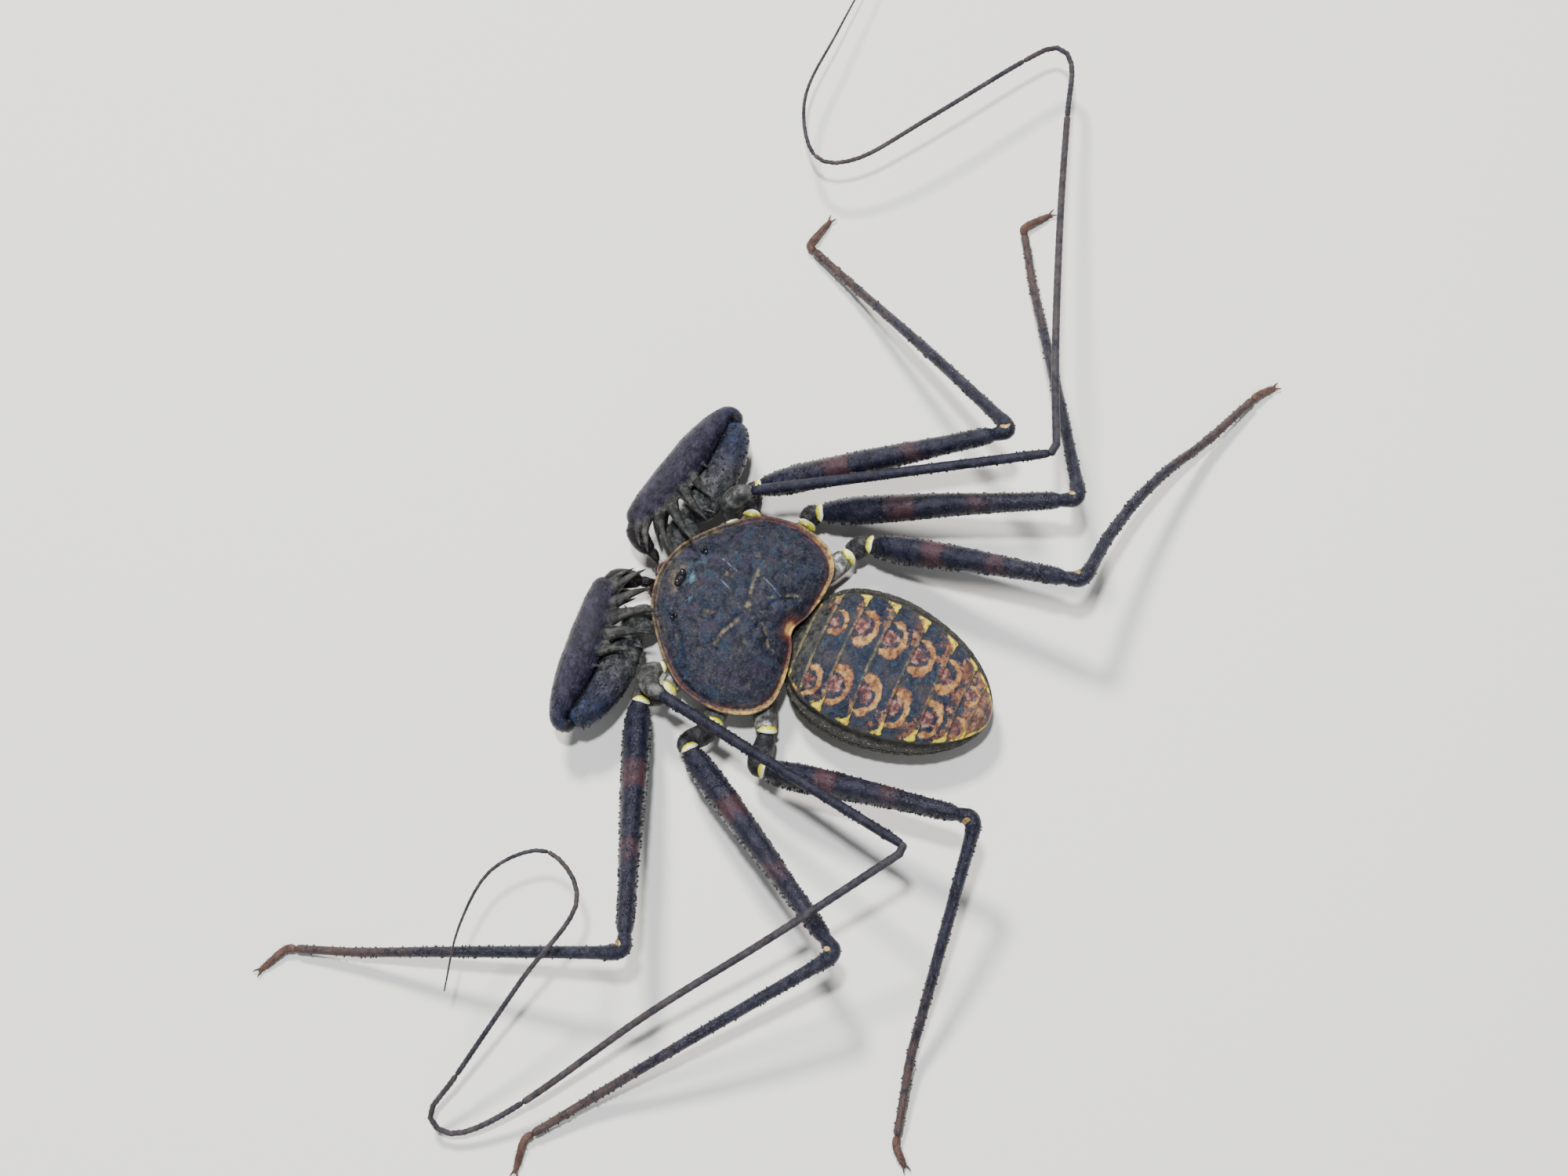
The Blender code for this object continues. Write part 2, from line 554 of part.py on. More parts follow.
def make_palps(material):
    trochanter_shape = ((0, 0.86, 0.68), (0.4, 0.86, 0.76), (1, 0.64, 0.68))
    femur_shape = ((0, 0.6, 0.66), (0.1, 0.78, 0.82), (0.35, 0.98, 1.0), (0.65, 0.93, 1.05), (0.9, 0.8, 0.92),
                   (1, 0.58, 0.68))
    patella_shape = ((0, 0.4, 0.5), (0.04, 0.66, 0.85), (0.15, 0.88, 1.1), (0.35, 1.05, 1.2), (0.6, 1.08, 1.15),
                     (0.85, 0.86, 0.94), (0.97, 0.6, 0.64), (1, 0.5, 0.56))
    elbow_shape = ((0, ELBOW_HALF, ELBOW_HALF), (0.5, ELBOW_HALF, 1.1 * ELBOW_HALF), (1, ELBOW_HALF, ELBOW_HALF))
    tibia_shape = ((0, 0.48, 0.5), (0.2, 0.58, 0.6), (0.8, 0.46, 0.5), (1, 0.36, 0.4))
    claw_shape = ((0, 0.33, 0.37), (0.4, 0.28, 0.3), (1, 0.06, 0.06))
    parts = (
        ("trochanter", PALP_TROCHANTER_ROUTE, trochanter_shape, 10, 0.6, PALP_TROCHANTER_SPINES),
        ("femur", PALP_FEMUR_ROUTE, femur_shape, 12, 1.1, PALP_FEMUR_SPINES),
        ("patella", PATELLA_ROUTE, patella_shape, 12, 1.1, PATELLA_SPINES),
        ("tibia", PALP_TIBIA_ROUTE, tibia_shape, 8, 0.5, PALP_TIBIA_SPINES),
        ("claw", PALP_CLAW_ROUTE, claw_shape, 8, 0.4, ()),
    )
    for name in ("L", "R"):
        place = palp_place(name)
        for part, route, shape, sides, spacing, spines in parts:
            pieces = [tube(curve_through(route, 6), shape, sides, spacing)]
            if part == "patella":
                pieces.append(tube(curve_through(ELBOW_ROUTE, 5), elbow_shape, 10, 0.4))
            pieces += [spine(*values) for values in spines]
            for piece in pieces:
                bmesh.ops.transform(piece, matrix=place, verts=piece.verts)
            node = "palp_" + name + "_" + part
            body, *rest = [make_object(node, piece, material) for piece in pieces]
            if rest:
                fuse(body, rest)


def step_out(start, length, heading, end_height):
    """End of a straight segment that starts and ends at given heights."""
    rise = end_height - start.z
    flat = math.sqrt(length ** 2 - rise ** 2)
    turn = math.radians(heading)
    return start + Vector((flat * math.cos(turn), flat * math.sin(turn), rise))


def bowed(start, end, bow):
    """Line between two points that rises a little in its middle."""
    middle = (start + end) / 2 + UP * bow
    return curve_through((start, (start + middle * 3) / 4, middle, (end + middle * 3) / 4, end), 3)


def hip_line(coxa, side, hip, way):
    """Line of a trochanter, from the end of its coxa to the start of the femur."""
    before, end_of_coxa = coxa_line(coxa, side)[-2:]
    outward = (end_of_coxa - before).normalized()
    start = end_of_coxa + outward * HIP_GAP
    end = hip - way * HIP_GAP
    reach = 0.4 * (end - start).length
    a, b, c, d = start, start + outward * reach, end - way * reach, end
    line = []
    for step in range(9):
        t = step / 8
        line.append(a * (1 - t) ** 3 + b * 3 * t * (1 - t) ** 2 + c * 3 * t * t * (1 - t) + d * t ** 3)
    return line


def make_leg(name, leg_material, foot_material):
    (hip_x, hip_y), knee_height, headings, side_bow = LEGS[name]
    pair = name[1]
    side = 1 if name[0] == "L" else -1
    hip = Vector((hip_x, hip_y, HIP_HEIGHT))
    knee = step_out(hip, FEMUR_LENGTH[pair], headings[0], knee_height)
    tibia_end = step_out(knee, TIBIA_LENGTH[pair], headings[1], TIBIA_END_HEIGHT)
    ankle = step_out(tibia_end, TIBIA_END_LENGTH[pair], headings[2], ANKLE_HEIGHT)
    toe = step_out(ankle, FOOT_LENGTH[pair], headings[3], TOE_HEIGHT)
    way = (knee - hip).normalized()
    femur_end = knee - way * KNEE_CUT
    femur_line = bowed(hip, femur_end, FEMUR_BOW)
    start_way = (femur_line[1] - femur_line[0]).normalized()
    trochanter = tube(hip_line(pair, side, hip, start_way), TROCHANTER_SHAPE, 8, 0.5)
    make_object("leg_" + name + "_trochanter", trochanter, leg_material)
    make_object("leg_" + name + "_femur", tube(femur_line, FEMUR_SHAPE, 8, 2.5), leg_material)
    end_way = (femur_line[-1] - femur_line[-2]).normalized()
    knee_start = femur_end + end_way * GAP
    sideways = UP.cross((tibia_end - knee).normalized())
    shin = [knee.lerp(tibia_end, share) + (UP * TIBIA_BOW + sideways * side_bow) * 4 * share * (1 - share)
            for share in (0.25, 0.5, 0.75)]
    line = rounded_route((knee_start, knee, *shin, tibia_end, ankle), KNEE_ROUNDING)
    make_object("leg_" + name + "_tibia", tube(line, TIBIA_SHAPE, 8, 2.2), leg_material)
    foot_way = (ankle - tibia_end).normalized()
    foot_start = ankle + foot_way * GAP
    line = rounded_route((foot_start, foot_start + foot_way * 0.5, toe), 0.4)
    make_object("leg_" + name + "_foot", tube(line, FOOT_SHAPE, 8, 0.8, True), foot_material)


def make_whip(name, material):
    side = 1 if name == "L" else -1
    hip = Vector(WHIP_HIP[name])
    knee = Vector(WHIP_KNEE[name])
    way = (knee - hip).normalized()
    start, middle, end = WHIP_TROCHANTER_HALF
    shape = ((0, start, start), (0.5, middle, middle), (1, end, end))
    make_object("whip_" + name + "_trochanter", tube(hip_line("1", side, hip, way), shape, 8, 0.6), material)
    femur_end = knee - way * WHIP_KNEE_CUT
    start, middle, end = WHIP_FEMUR_HALF
    shape = ((0, start, start), (0.2, middle, middle), (1, end, end))
    make_object("whip_" + name + "_femur", tube([hip, femur_end], shape, 8, 3.0), material)

    route = [knee] + [Vector(point) for point in WHIP_ROUTE[name]]
    per_span = 8
    curve = curve_through(route, per_span)
    knee_start = femur_end + way * GAP
    whole = rounded_route((knee_start, knee, curve[per_span // 2]), 0.6)[:-1] + curve[per_span // 2:]
    lengths = line_lengths(whole)
    cuts = [lengths[-1] - line_lengths(curve[per_span * part:])[-1] for part in WHIP_PARTS[name]]
    stops = [0] + cuts + [lengths[-1]]
    thick, thin = WHIP_HALF
    for part, (low, high) in enumerate(zip(stops, stops[1:])):
        first = part == 0
        last = part == len(stops) - 2
        line = part_of_line(whole, low + (0 if first else GAP / 2), high - (0 if last else GAP / 2))
        start = thick if first else thin
        if last:
            tip = 1 - WHIP_TIP_LENGTH / (high - low)
            shape = ((0, start, start), (tip, thin, thin), (1, WHIP_TIP_HALF, WHIP_TIP_HALF))
        else:
            shape = ((0, start, start), (1, thin, thin))
        node = "whip_" + name + ("_tibia" if first else "_foot_" + str(part))
        make_object(node, tube(line, shape, WHIP_SIDES, WHIP_RING_SPACING), material)


def put_origin_below_middle():
    """Move the whole animal so that the origin is under the middle of its box, on the floor."""
    corners = [item.matrix_world @ Vector(corner) for item in bpy.data.objects for corner in item.bound_box]
    low = Vector([min(corner[axis] for corner in corners) for axis in range(3)])
    high = Vector([max(corner[axis] for corner in corners) for axis in range(3)])
    middle = (low + high) / 2
    shift = Matrix.Translation((-middle.x, -middle.y, -low.z))
    for item in bpy.data.objects:
        item.data.transform(shift)


def make_whip_spider():
    clear_scene()
    materials = {name: make_material(name) for name in COLOURS}
    make_carapace(materials["carapace"])
    make_eyes(materials["eyes"])
    make_underside(materials["underside"])
    make_abdomen(materials["abdomen"])
    make_jaws(materials["jaws"])
    make_palps(materials["palps"])
    for name in LEGS:
        make_leg(name, materials["legs"], materials["feet"])
    for name in ("L", "R"):
        make_whip(name, materials["whips"])
    put_origin_below_middle()


make_whip_spider()
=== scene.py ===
import math
import bmesh
import bpy
import numpy as np
from mathutils import Matrix, Vector


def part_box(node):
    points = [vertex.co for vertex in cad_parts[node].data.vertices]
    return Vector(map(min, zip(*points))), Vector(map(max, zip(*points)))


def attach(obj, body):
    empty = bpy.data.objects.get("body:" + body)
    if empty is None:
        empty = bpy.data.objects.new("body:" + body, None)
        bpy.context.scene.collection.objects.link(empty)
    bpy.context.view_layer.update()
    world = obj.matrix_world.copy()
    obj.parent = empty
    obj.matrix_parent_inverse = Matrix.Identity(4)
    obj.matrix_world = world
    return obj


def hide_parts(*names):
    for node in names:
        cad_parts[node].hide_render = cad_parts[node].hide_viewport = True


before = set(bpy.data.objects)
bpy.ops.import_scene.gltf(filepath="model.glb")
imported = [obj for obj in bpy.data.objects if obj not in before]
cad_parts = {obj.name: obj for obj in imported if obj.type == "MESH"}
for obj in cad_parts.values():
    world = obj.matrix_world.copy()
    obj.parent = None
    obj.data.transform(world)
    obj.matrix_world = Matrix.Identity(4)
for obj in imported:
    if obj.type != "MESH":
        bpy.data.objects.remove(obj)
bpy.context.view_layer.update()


# Camera. The animal lies on the floor and is seen from above, over its rear and a little
# from its left side, so that its head points to the left of the picture.
camera_place = Vector((0.0489, 0.0195, 0.1721))
camera_aim = Vector((0.0009, -0.0022, 0))
picture_top = Vector((-0.872, -0.393, 0.292))
back = (camera_place - camera_aim).normalized()
right = picture_top.cross(back).normalized()
camera_turn = Matrix((right, back.cross(right), back)).transposed().to_4x4()
camera = bpy.data.objects.new("camera", bpy.data.cameras.new("camera"))
bpy.context.scene.collection.objects.link(camera)
camera.matrix_world = Matrix.Translation(camera_place) @ camera_turn
camera.data.lens = 64.8
camera.data.sensor_width = 36
camera.data.clip_start = 0.01
camera.data.clip_end = 20
bpy.context.scene.camera = camera


# Floor and light. A plain pale floor, one soft lamp over the picture's upper left edge, a
# small one near the camera for glints, a weak one opposite, and an even pale surround.
def add_primitive(kind, name, **sizes):
    """One primitive, made with nothing else selected."""
    bpy.ops.object.select_all(action="DESELECT")
    kind(**sizes)
    item = bpy.context.object
    item.name = name
    return item


def new_material(name, **values):
    """Plain material and its shader; values name the shader's inputs."""
    material = bpy.data.materials.new(name)
    material.use_nodes = True
    shader = material.node_tree.nodes["Principled BSDF"]
    for key, value in values.items():
        shader.inputs[key.replace("_", " ")].default_value = value
    return material, shader


def soft_lamp(name, place, width, power, colour):
    lamp = bpy.data.objects.new(name, bpy.data.lights.new(name, "AREA"))
    lamp.data.shape = "DISK"
    lamp.data.size = width
    lamp.data.energy = power
    lamp.data.color = colour
    spot = Vector(place)
    lamp.matrix_world = Matrix.Translation(spot) @ spot.to_track_quat("Z", "Y").to_matrix().to_4x4()
    bpy.context.scene.collection.objects.link(lamp)


floor = add_primitive(bpy.ops.mesh.primitive_plane_add, "floor", size=3)
floor_paint, shader = new_material("floor_paint", Base_Color=(0.7, 0.68, 0.64, 1), Roughness=0.8)
floor.data.materials.append(floor_paint)
soft_lamp("key_lamp", (-0.2, -0.22, 0.42), 0.09, 4.4, (1, 0.98, 0.95))
soft_lamp("glint_lamp", (0.01, -0.02, 0.34), 0.025, 1.5, (0.92, 0.96, 1))
soft_lamp("fill_lamp", (0.35, 0.15, 0.3), 0.4, 0.7, (0.9, 0.95, 1))
surround = bpy.data.worlds.new("surround")
surround.use_nodes = True
glow = surround.node_tree.nodes["Background"]
glow.inputs["Color"].default_value = (0.9, 0.93, 1, 1)
glow.inputs["Strength"].default_value = 0.17
bpy.context.scene.world = surround


# Carapace. The shield over the front body is one dark, kidney-shaped plate of hard cuticle
# with a raised pale lip, furrows that run out from a pit in its middle, and fine granules.
carapace_outline = ((0, -6.15), (1.85, -5.8), (3.23, -5.0), (4.82, -3.62), (6.1, -1.93), (6.57, 0),
                    (6.48, 1.54), (5.86, 2.97), (4.73, 3.8), (3.1, 3.88), (1.3, 3.55))
carapace_notch = (0, 3.05)
carapace_middle = Vector((0, -0.3, 0))
carapace_crown = 4.9
rim_height_all_round = 3.15
# Furrows: direction from straight ahead (left is positive) and distance from the pit, at both
# ends, then width and how much pale dust lies in it
furrows = ((-82, 0.5, -80, 2.7, 0.12, 1), (-77, 3.0, -75, 3.7, 0.14, 0.55), (-137, 1.2, -134, 1.9, 0.09, 0.8),
           (-138, 2.2, -141, 3.4, 0.1, 0.9), (76, 0.9, 72, 3.4, 0.12, 1), (109, 2.0, 105, 3.1, 0.11, 0.85),
           (156, 1.1, 141, 3.2, 0.09, 0.75), (-43, 2.1, -30, 2.9, 0.12, 0.9), (42, 2.0, 27, 2.8, 0.11, 0.8),
           (5, 3.1, -4, 3.8, 0.2, 0.45), (48, 4.4, 46, 4.9, 0.14, 0.5), (-100, 4.2, -94, 4.9, 0.13, 0.4),
           (118, 4.5, 112, 5.0, 0.14, 0.4))
# Ends of thin pale streaks painted in as highlights, all on the right half
highlight_streaks = (((-2.2, -2.7), (-1.65, -1.3)), ((-2.05, 0.15), (-1.45, 1.55)), ((-0.86, -2.25), (-0.5, -1.5)))
low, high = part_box("carapace")
middle_in_frame = Vector((500 * (low.x + high.x), 1000 * low.y - carapace_outline[0][1], 0))


def curve_through(points, per_span=8):
    """Smooth line through the points (Catmull-Rom)."""
    spots = [Vector(point) for point in points]
    spots = [2 * spots[0] - spots[1]] + spots + [2 * spots[-1] - spots[-2]]
    line = []
    for a, b, c, d in zip(spots, spots[1:], spots[2:], spots[3:]):
        for step in range(per_span):
            t = step / per_span
            line.append(0.5 * (2 * b + (c - a) * t + (2 * a - 5 * b + 4 * c - d) * t * t
                               + (3 * b - a - 3 * c + d) * t * t * t))
    line.append(spots[-2])
    return line


def points_of(item):
    return np.array([vert.co for vert in item.data.vertices])


def add_sphere(name, around, rings):
    """A ball primitive, and for each of its points the ring it is on and its turn about the axis."""
    ball = add_primitive(bpy.ops.mesh.primitive_uv_sphere_add, name, segments=around, ring_count=rings,
                         radius=1)
    spots = points_of(ball)
    ring = np.rint(np.arccos(np.clip(spots[:, 2], -1, 1)) / math.pi * rings)
    return ball, ring / rings, np.arctan2(spots[:, 1], spots[:, 0])


def put_points(item, spots):
    item.data.vertices.foreach_set("co", np.asarray(spots, np.float32).ravel())
    item.data.update()


def smooth_outward():
    """Turn the faces of the active piece outward and shade them smooth."""
    bpy.ops.object.mode_set(mode="EDIT")
    bpy.ops.mesh.select_all(action="SELECT")
    bpy.ops.mesh.normals_make_consistent(inside=False)
    bpy.ops.object.mode_set(mode="OBJECT")
    bpy.ops.object.shade_smooth()


def mark(item, **fields):
    """Store fields, each of one number per point of the mesh, for its material."""
    for name, values in fields.items():
        layer = item.data.attributes.get(name) or item.data.attributes.new(name, "FLOAT", "POINT")
        layer.data.foreach_set("value", np.asarray(values, np.float32))


def settle(piece, slot, *nodes):
    """Bring a piece drawn in millimetres about the animal's middle into the frame, in metres."""
    piece.data.transform(Matrix.Scale(0.001, 4) @ Matrix.Translation(middle_in_frame))
    piece.data.update()
    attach(piece, "root")
    if nodes:
        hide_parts(*nodes)


def dress(piece, material, slot, *nodes):
    """Give a finished piece its only material and settle it."""
    piece.data.materials.clear()
    piece.data.materials.append(material)
    settle(piece, slot, *nodes)


def pick_only(*items):
    """Select these and no others; the first is the active one."""
    bpy.ops.object.select_all(action="DESELECT")
    for item in items:
        item.select_set(True)
    bpy.context.view_layer.objects.active = items[0]


def join_to(piece, *others):
    pick_only(piece, *others)
    bpy.ops.object.join()


def small_shape(kind, **sizes):
    """Points and faces of a small primitive that will be copied many times."""
    item = add_primitive(kind, "small_shape", **sizes)
    spots = points_of(item)
    faces = [tuple(face.vertices) for face in item.data.polygons]
    bpy.data.objects.remove(item)
    return spots, faces


granule_shape = small_shape(bpy.ops.mesh.primitive_ico_sphere_add, subdivisions=1, radius=1)
hair_shape = small_shape(bpy.ops.mesh.primitive_cone_add, vertices=3, radius1=1, radius2=0.25, depth=1,
                         end_fill_type="NGON")
hair_shape = (hair_shape[0] + (0, 0, 0.5), hair_shape[1])


lowest_point = 0.005
tuft_patch = 0.003


def on_map(share):
    """Place on the flat map of a skin, clear of the map's edges."""
    return 0.01 + 0.97 * share


def scatter(name, shape, roots, ways, widths, lengths, marks, across, down):
    """One mesh of many copies of a small shape, each on its root and turned to its way.

    Across and down say where each root is on a flat map of the skin that it stands on.
    """
    points, faces = shape
    ways = ways / np.linalg.norm(ways, axis=1, keepdims=True)
    helper = np.where(np.abs(ways[:, 2:3]) < 0.9, (0, 0, 1), (1, 0, 0))
    side = np.cross(ways, helper)
    side /= np.linalg.norm(side, axis=1, keepdims=True)
    over = np.cross(ways, side)
    spots = (roots[:, None] + side[:, None] * (points[None, :, :1] * widths[:, None, None])
             + over[:, None] * (points[None, :, 1:2] * widths[:, None, None])
             + ways[:, None] * (points[None, :, 2:] * lengths[:, None, None]))
    # nothing reaches down through the floor
    spots[:, :, 2] += np.clip(lowest_point - spots[:, :, 2].min(1), 0, None)[:, None]
    count = len(points)
    all_faces = [tuple(index + corner for corner in face) for index in range(0, count * len(roots), count)
                 for face in faces]
    mesh = bpy.data.meshes.new(name)
    mesh.from_pydata(spots.reshape(-1, 3).tolist(), [], all_faces)
    item = bpy.data.objects.new(name, mesh)
    bpy.context.scene.collection.objects.link(item)
    mark(item, **{key: np.repeat(values, count) for key, values in marks.items()})
    flat = (points[:, (0, 2)] - points[:, (0, 2)].min(0)) / np.ptp(points[:, (0, 2)], axis=0)
    tufts = np.stack((across, down), 1)[:, None] + tuft_patch * flat[None]
    corners = np.zeros(len(mesh.loops), np.int32)
    mesh.loops.foreach_get("vertex_index", corners)
    flat_map = mesh.uv_layers.new(name="OFBake")
    flat_map.data.foreach_set("uv", tufts.reshape(-1, 2)[corners].astype(np.float32).ravel())
    mesh.shade_smooth()
    return item


def surface_points(item, count, seed, keep):
    """Points and normals picked at random from the points of a mesh, where keep says so."""
    dice = np.random.default_rng(seed)
    spots = points_of(item)
    normals = np.array([normal.vector for normal in item.data.vertex_normals])
    areas = np.zeros(len(spots))
    for face in item.data.polygons:
        for index in face.vertices:
            areas[index] += face.area
    areas *= keep
    picks = dice.choice(len(spots), count, replace=False, p=areas / areas.sum())
    return picks, spots[picks], normals[picks], dice


def add_node(material, kind, **values):
    """Add a shader node; values name its settings or its inputs."""
    made = material.node_tree.nodes.new(kind)
    for key, value in values.items():
        if hasattr(made, key):
            setattr(made, key, value)
        else:
            made.inputs[key.replace("_", " ")].default_value = value
    return made


def link(material, source, target):
    material.node_tree.links.new(source, target)


def ramp(material, source, stops):
    """Colour ramp driven by a value; stops are (position, colour or grey)."""
    made = add_node(material, "ShaderNodeValToRGB")
    elements = made.color_ramp.elements
    while len(elements) < len(stops):
        elements.new(0.5)
    for element, (position, colour) in zip(elements, stops):
        element.position = position
        element.color = (*(colour if isinstance(colour, tuple) else (colour,) * 3), 1)
    link(material, source, made.inputs["Fac"])
    return made.outputs["Color"]


def mix(material, share, below, above):
    """Mix two colours; share is a socket, below and above are sockets or colours."""
    made = add_node(material, "ShaderNodeMix", data_type="RGBA")
    link(material, share, made.inputs[0])
    for socket, value in ((made.inputs[6], below), (made.inputs[7], above)):
        if isinstance(value, tuple):
            socket.default_value = (*value, 1)
        else:
            link(material, value, socket)
    return made.outputs[2]


def maths(material, operation, first, second=0.0, clamp=False):
    made = add_node(material, "ShaderNodeMath", operation=operation, use_clamp=clamp)
    for socket, value in ((made.inputs[0], first), (made.inputs[1], second)):
        if isinstance(value, (int, float)):
            socket.default_value = value
        else:
            link(material, value, socket)
    return made.outputs[0]


def times(material, first, second, clamp=False):
    return maths(material, "MULTIPLY", first, second, clamp)


def past(material, source, floor, gain, clamp=False):
    """How far a value is past a floor, times a gain."""
    return times(material, maths(material, "SUBTRACT", source, floor), gain, clamp)


def mottle(material, scale, detail=3, rough=0.6):
    """Noise on the piece's own coordinates; scale is cells per metre."""
    made = add_node(material, "ShaderNodeTexNoise", Scale=scale, Detail=detail, Roughness=rough)
    place = add_node(material, "ShaderNodeTexCoord")
    link(material, place.outputs["Object"], made.inputs["Vector"])
    return made.outputs["Fac"]


def patches(material, cells, stops):
    """Colour ramp driven by noise; cells are the noise's scale, detail and roughness."""
    return ramp(material, mottle(material, *cells), stops)


def blotches(material, scale, detail=5, rough=0.7):
    """Noise stretched to run from 0 to 1."""
    return patches(material, (scale, detail, rough), ((0.38, 0), (0.62, 1)))


def attribute(material, name, strength=1):
    """Mark stored on the mesh, as a value."""
    stored = add_node(material, "ShaderNodeAttribute", attribute_name=name).outputs["Fac"]
    return stored if strength == 1 else times(material, stored, strength)


def layered(material, colour, *layers):
    """Colours laid over each other; each layer is its share and its colour."""
    for share, tint in layers:
        colour = mix(material, share, colour, tint)
    return colour


def cuticle(name, tones, dust, roughness=0.42, bump=0.5, grain=3600, cells=1100):
    """Hard cuticle: three tones in fine uneven cells, dull dust in places, and a wrinkled grain."""
    material, shader = new_material(name, Roughness=roughness, Specular_IOR_Level=0.2)
    ground = patches(material, (cells, 6, 0.72), tuple(zip((0.41, 0.5, 0.61), tones)))
    dusty = patches(material, (2.6 * cells, 4, 0.7), ((0.54, 0), (0.7, 0.7)))
    colour = mix(material, dusty, ground, dust)
    uneven = add_node(material, "ShaderNodeBump", Strength=bump, Distance=0.00013)
    link(material, mottle(material, grain, 6, 0.72), uneven.inputs["Height"])
    link(material, uneven.outputs["Normal"], shader.inputs["Normal"])
    link(material, colour, shader.inputs["Base Color"])
    return material, shader, colour


def rim_height(x, y):
    front = np.maximum(0, (-y - 3.5) / 2.65)
    notch = np.where(y > 2, np.maximum(0, 1 - np.abs(x) / 2.5), 0)
    return rim_height_all_round + 0.45 * front + 0.25 * notch


carapace, carapace_share, carapace_turn = add_sphere("carapace_plate", 360, 220)
margin = [Vector((x, y, 0)) for x, y in carapace_outline] + [Vector((*carapace_notch, 0))]
margin += [Vector((-x, y, 0)) for x, y in carapace_outline[:0:-1]]
margin = curve_through([margin[-1]] + margin + margin[:2], 8)[8:-17]
margin = np.array([spot - carapace_middle for spot in margin])
margin_turn = np.arctan2(margin[:, 1], margin[:, 0])
order = np.argsort(margin_turn)
margin_reach = np.interp(carapace_turn, margin_turn[order], np.hypot(margin[:, 0], margin[:, 1])[order],
                         period=2 * math.pi)
edge_x = np.cos(carapace_turn) * margin_reach
edge_y = np.sin(carapace_turn) * margin_reach + carapace_middle.y
top_part = 0.84
share = np.interp(carapace_share, (0, top_part, 0.87, 0.9, 0.94, 1), (0, 1, 0.99, 0.93, 0.82, 0))
on_top = carapace_share <= top_part + 1e-6
rim = rim_height(edge_x, edge_y)
dome = rim + (carapace_crown - rim) * (1 - np.clip(share / 0.95, 0, 1) ** 2.3)
lip = 0.1 * np.exp(-((share - 0.985) / 0.018) ** 2) - 0.07 * np.exp(-((share - 0.94) / 0.02) ** 2)
below = np.interp(carapace_share, (top_part, 0.87, 0.9, 0.94, 1), (0, -0.2, -0.28, -0.4, -0.4))
height = np.where(on_top, dome + lip, rim + below)
height = np.where(carapace_share > 0.93, np.minimum(height, 2.75), height)
spot_x = edge_x * share
spot_y = carapace_middle.y + (edge_y - carapace_middle.y) * share
reach = np.hypot(spot_x, spot_y)
furrow_depth, streak, valley, painted_highlight = np.zeros((4, len(share)))
for first_turn, first_reach, last_turn, last_reach, width, dusty in furrows:
    first, last = (far * np.array((math.sin(math.radians(turn)), -math.cos(math.radians(turn))))
                   for turn, far in ((first_turn, first_reach), (last_turn, last_reach)))
    for side in (1, -1):
        run = (last - first) * (side, 1)
        length = np.hypot(*run)
        run_x, run_y = run / length
        from_x, from_y = spot_x - side * first[0], spot_y - first[1]
        along = from_x * run_x + from_y * run_y
        off = np.abs(from_x * run_y - from_y * run_x + 0.07 * np.sin(3.1 * along + first_turn))
        inside = np.clip(along / 0.3, 0, 1) * np.clip((length - along) / 0.3, 0, 1)
        furrow_depth = np.maximum(furrow_depth, inside * np.exp(-(off / (1.4 * width)) ** 2))
        valley = np.maximum(valley, inside * np.exp(-(off / 0.42) ** 2))
        if side == 1:
            streak = np.maximum(streak, dusty * inside * np.clip((1.2 - off / width) * 2.5, 0, 1))
# painted highlight: thin pale lines along these streaks, standing for glossy reflections on ridges
for first, last in highlight_streaks:
    run = np.subtract(last, first)
    along = np.clip(((spot_x - first[0]) * run[0] + (spot_y - first[1]) * run[1]) / run.dot(run), 0, 1)
    gap = np.hypot(spot_x - first[0] - along * run[0], spot_y - first[1] - along * run[1])
    painted_highlight = np.maximum(painted_highlight, np.clip(1.4 - gap / 0.04, 0, 1))
midline = (np.exp(-(spot_x / 0.12) ** 2) * np.clip((-spot_y - 0.5) / 0.6, 0, 1)
           * np.clip((4.1 + spot_y) / 0.5, 0, 1))
pit = np.exp(-(reach / 0.3) ** 2)
swell = (0.05 * np.cos(np.arctan2(spot_x, -spot_y) * 7) * np.clip(reach / 2, 0, 1)
         * np.clip((0.9 - share) / 0.2, 0, 1))
relief = ((0.05, furrow_depth), (0.14, valley), (0.03, midline), (0.12, pit))
for depth, hollow in relief:
    height = np.where(on_top, height - depth * hollow, height)
height = np.where(on_top, height + swell, height)
mound = np.clip(1 - (spot_x / 0.56) ** 2 - ((spot_y + 4.64) / 0.34) ** 2, 0, 1)
height = np.where(on_top, height + 0.26 * np.sqrt(mound), height)
put_points(carapace, np.stack((spot_x, spot_y, height), 1))
smooth_outward()
from_edge = (1 - share) * margin_reach
rear = np.clip((edge_y + 0.6) / 3, 0, 1)
front = np.clip((-edge_y - 2.2) / 2, 0, 1)
corner_x = np.clip((np.abs(edge_x) - 1.2) / 1.5, 0, 1)
lip_width = 0.1 + 0.2 * rear * corner_x + 0.04 * front
at_notch = np.exp(-((spot_x / 0.65) ** 2 + ((spot_y - 2.87) / 0.4) ** 2))
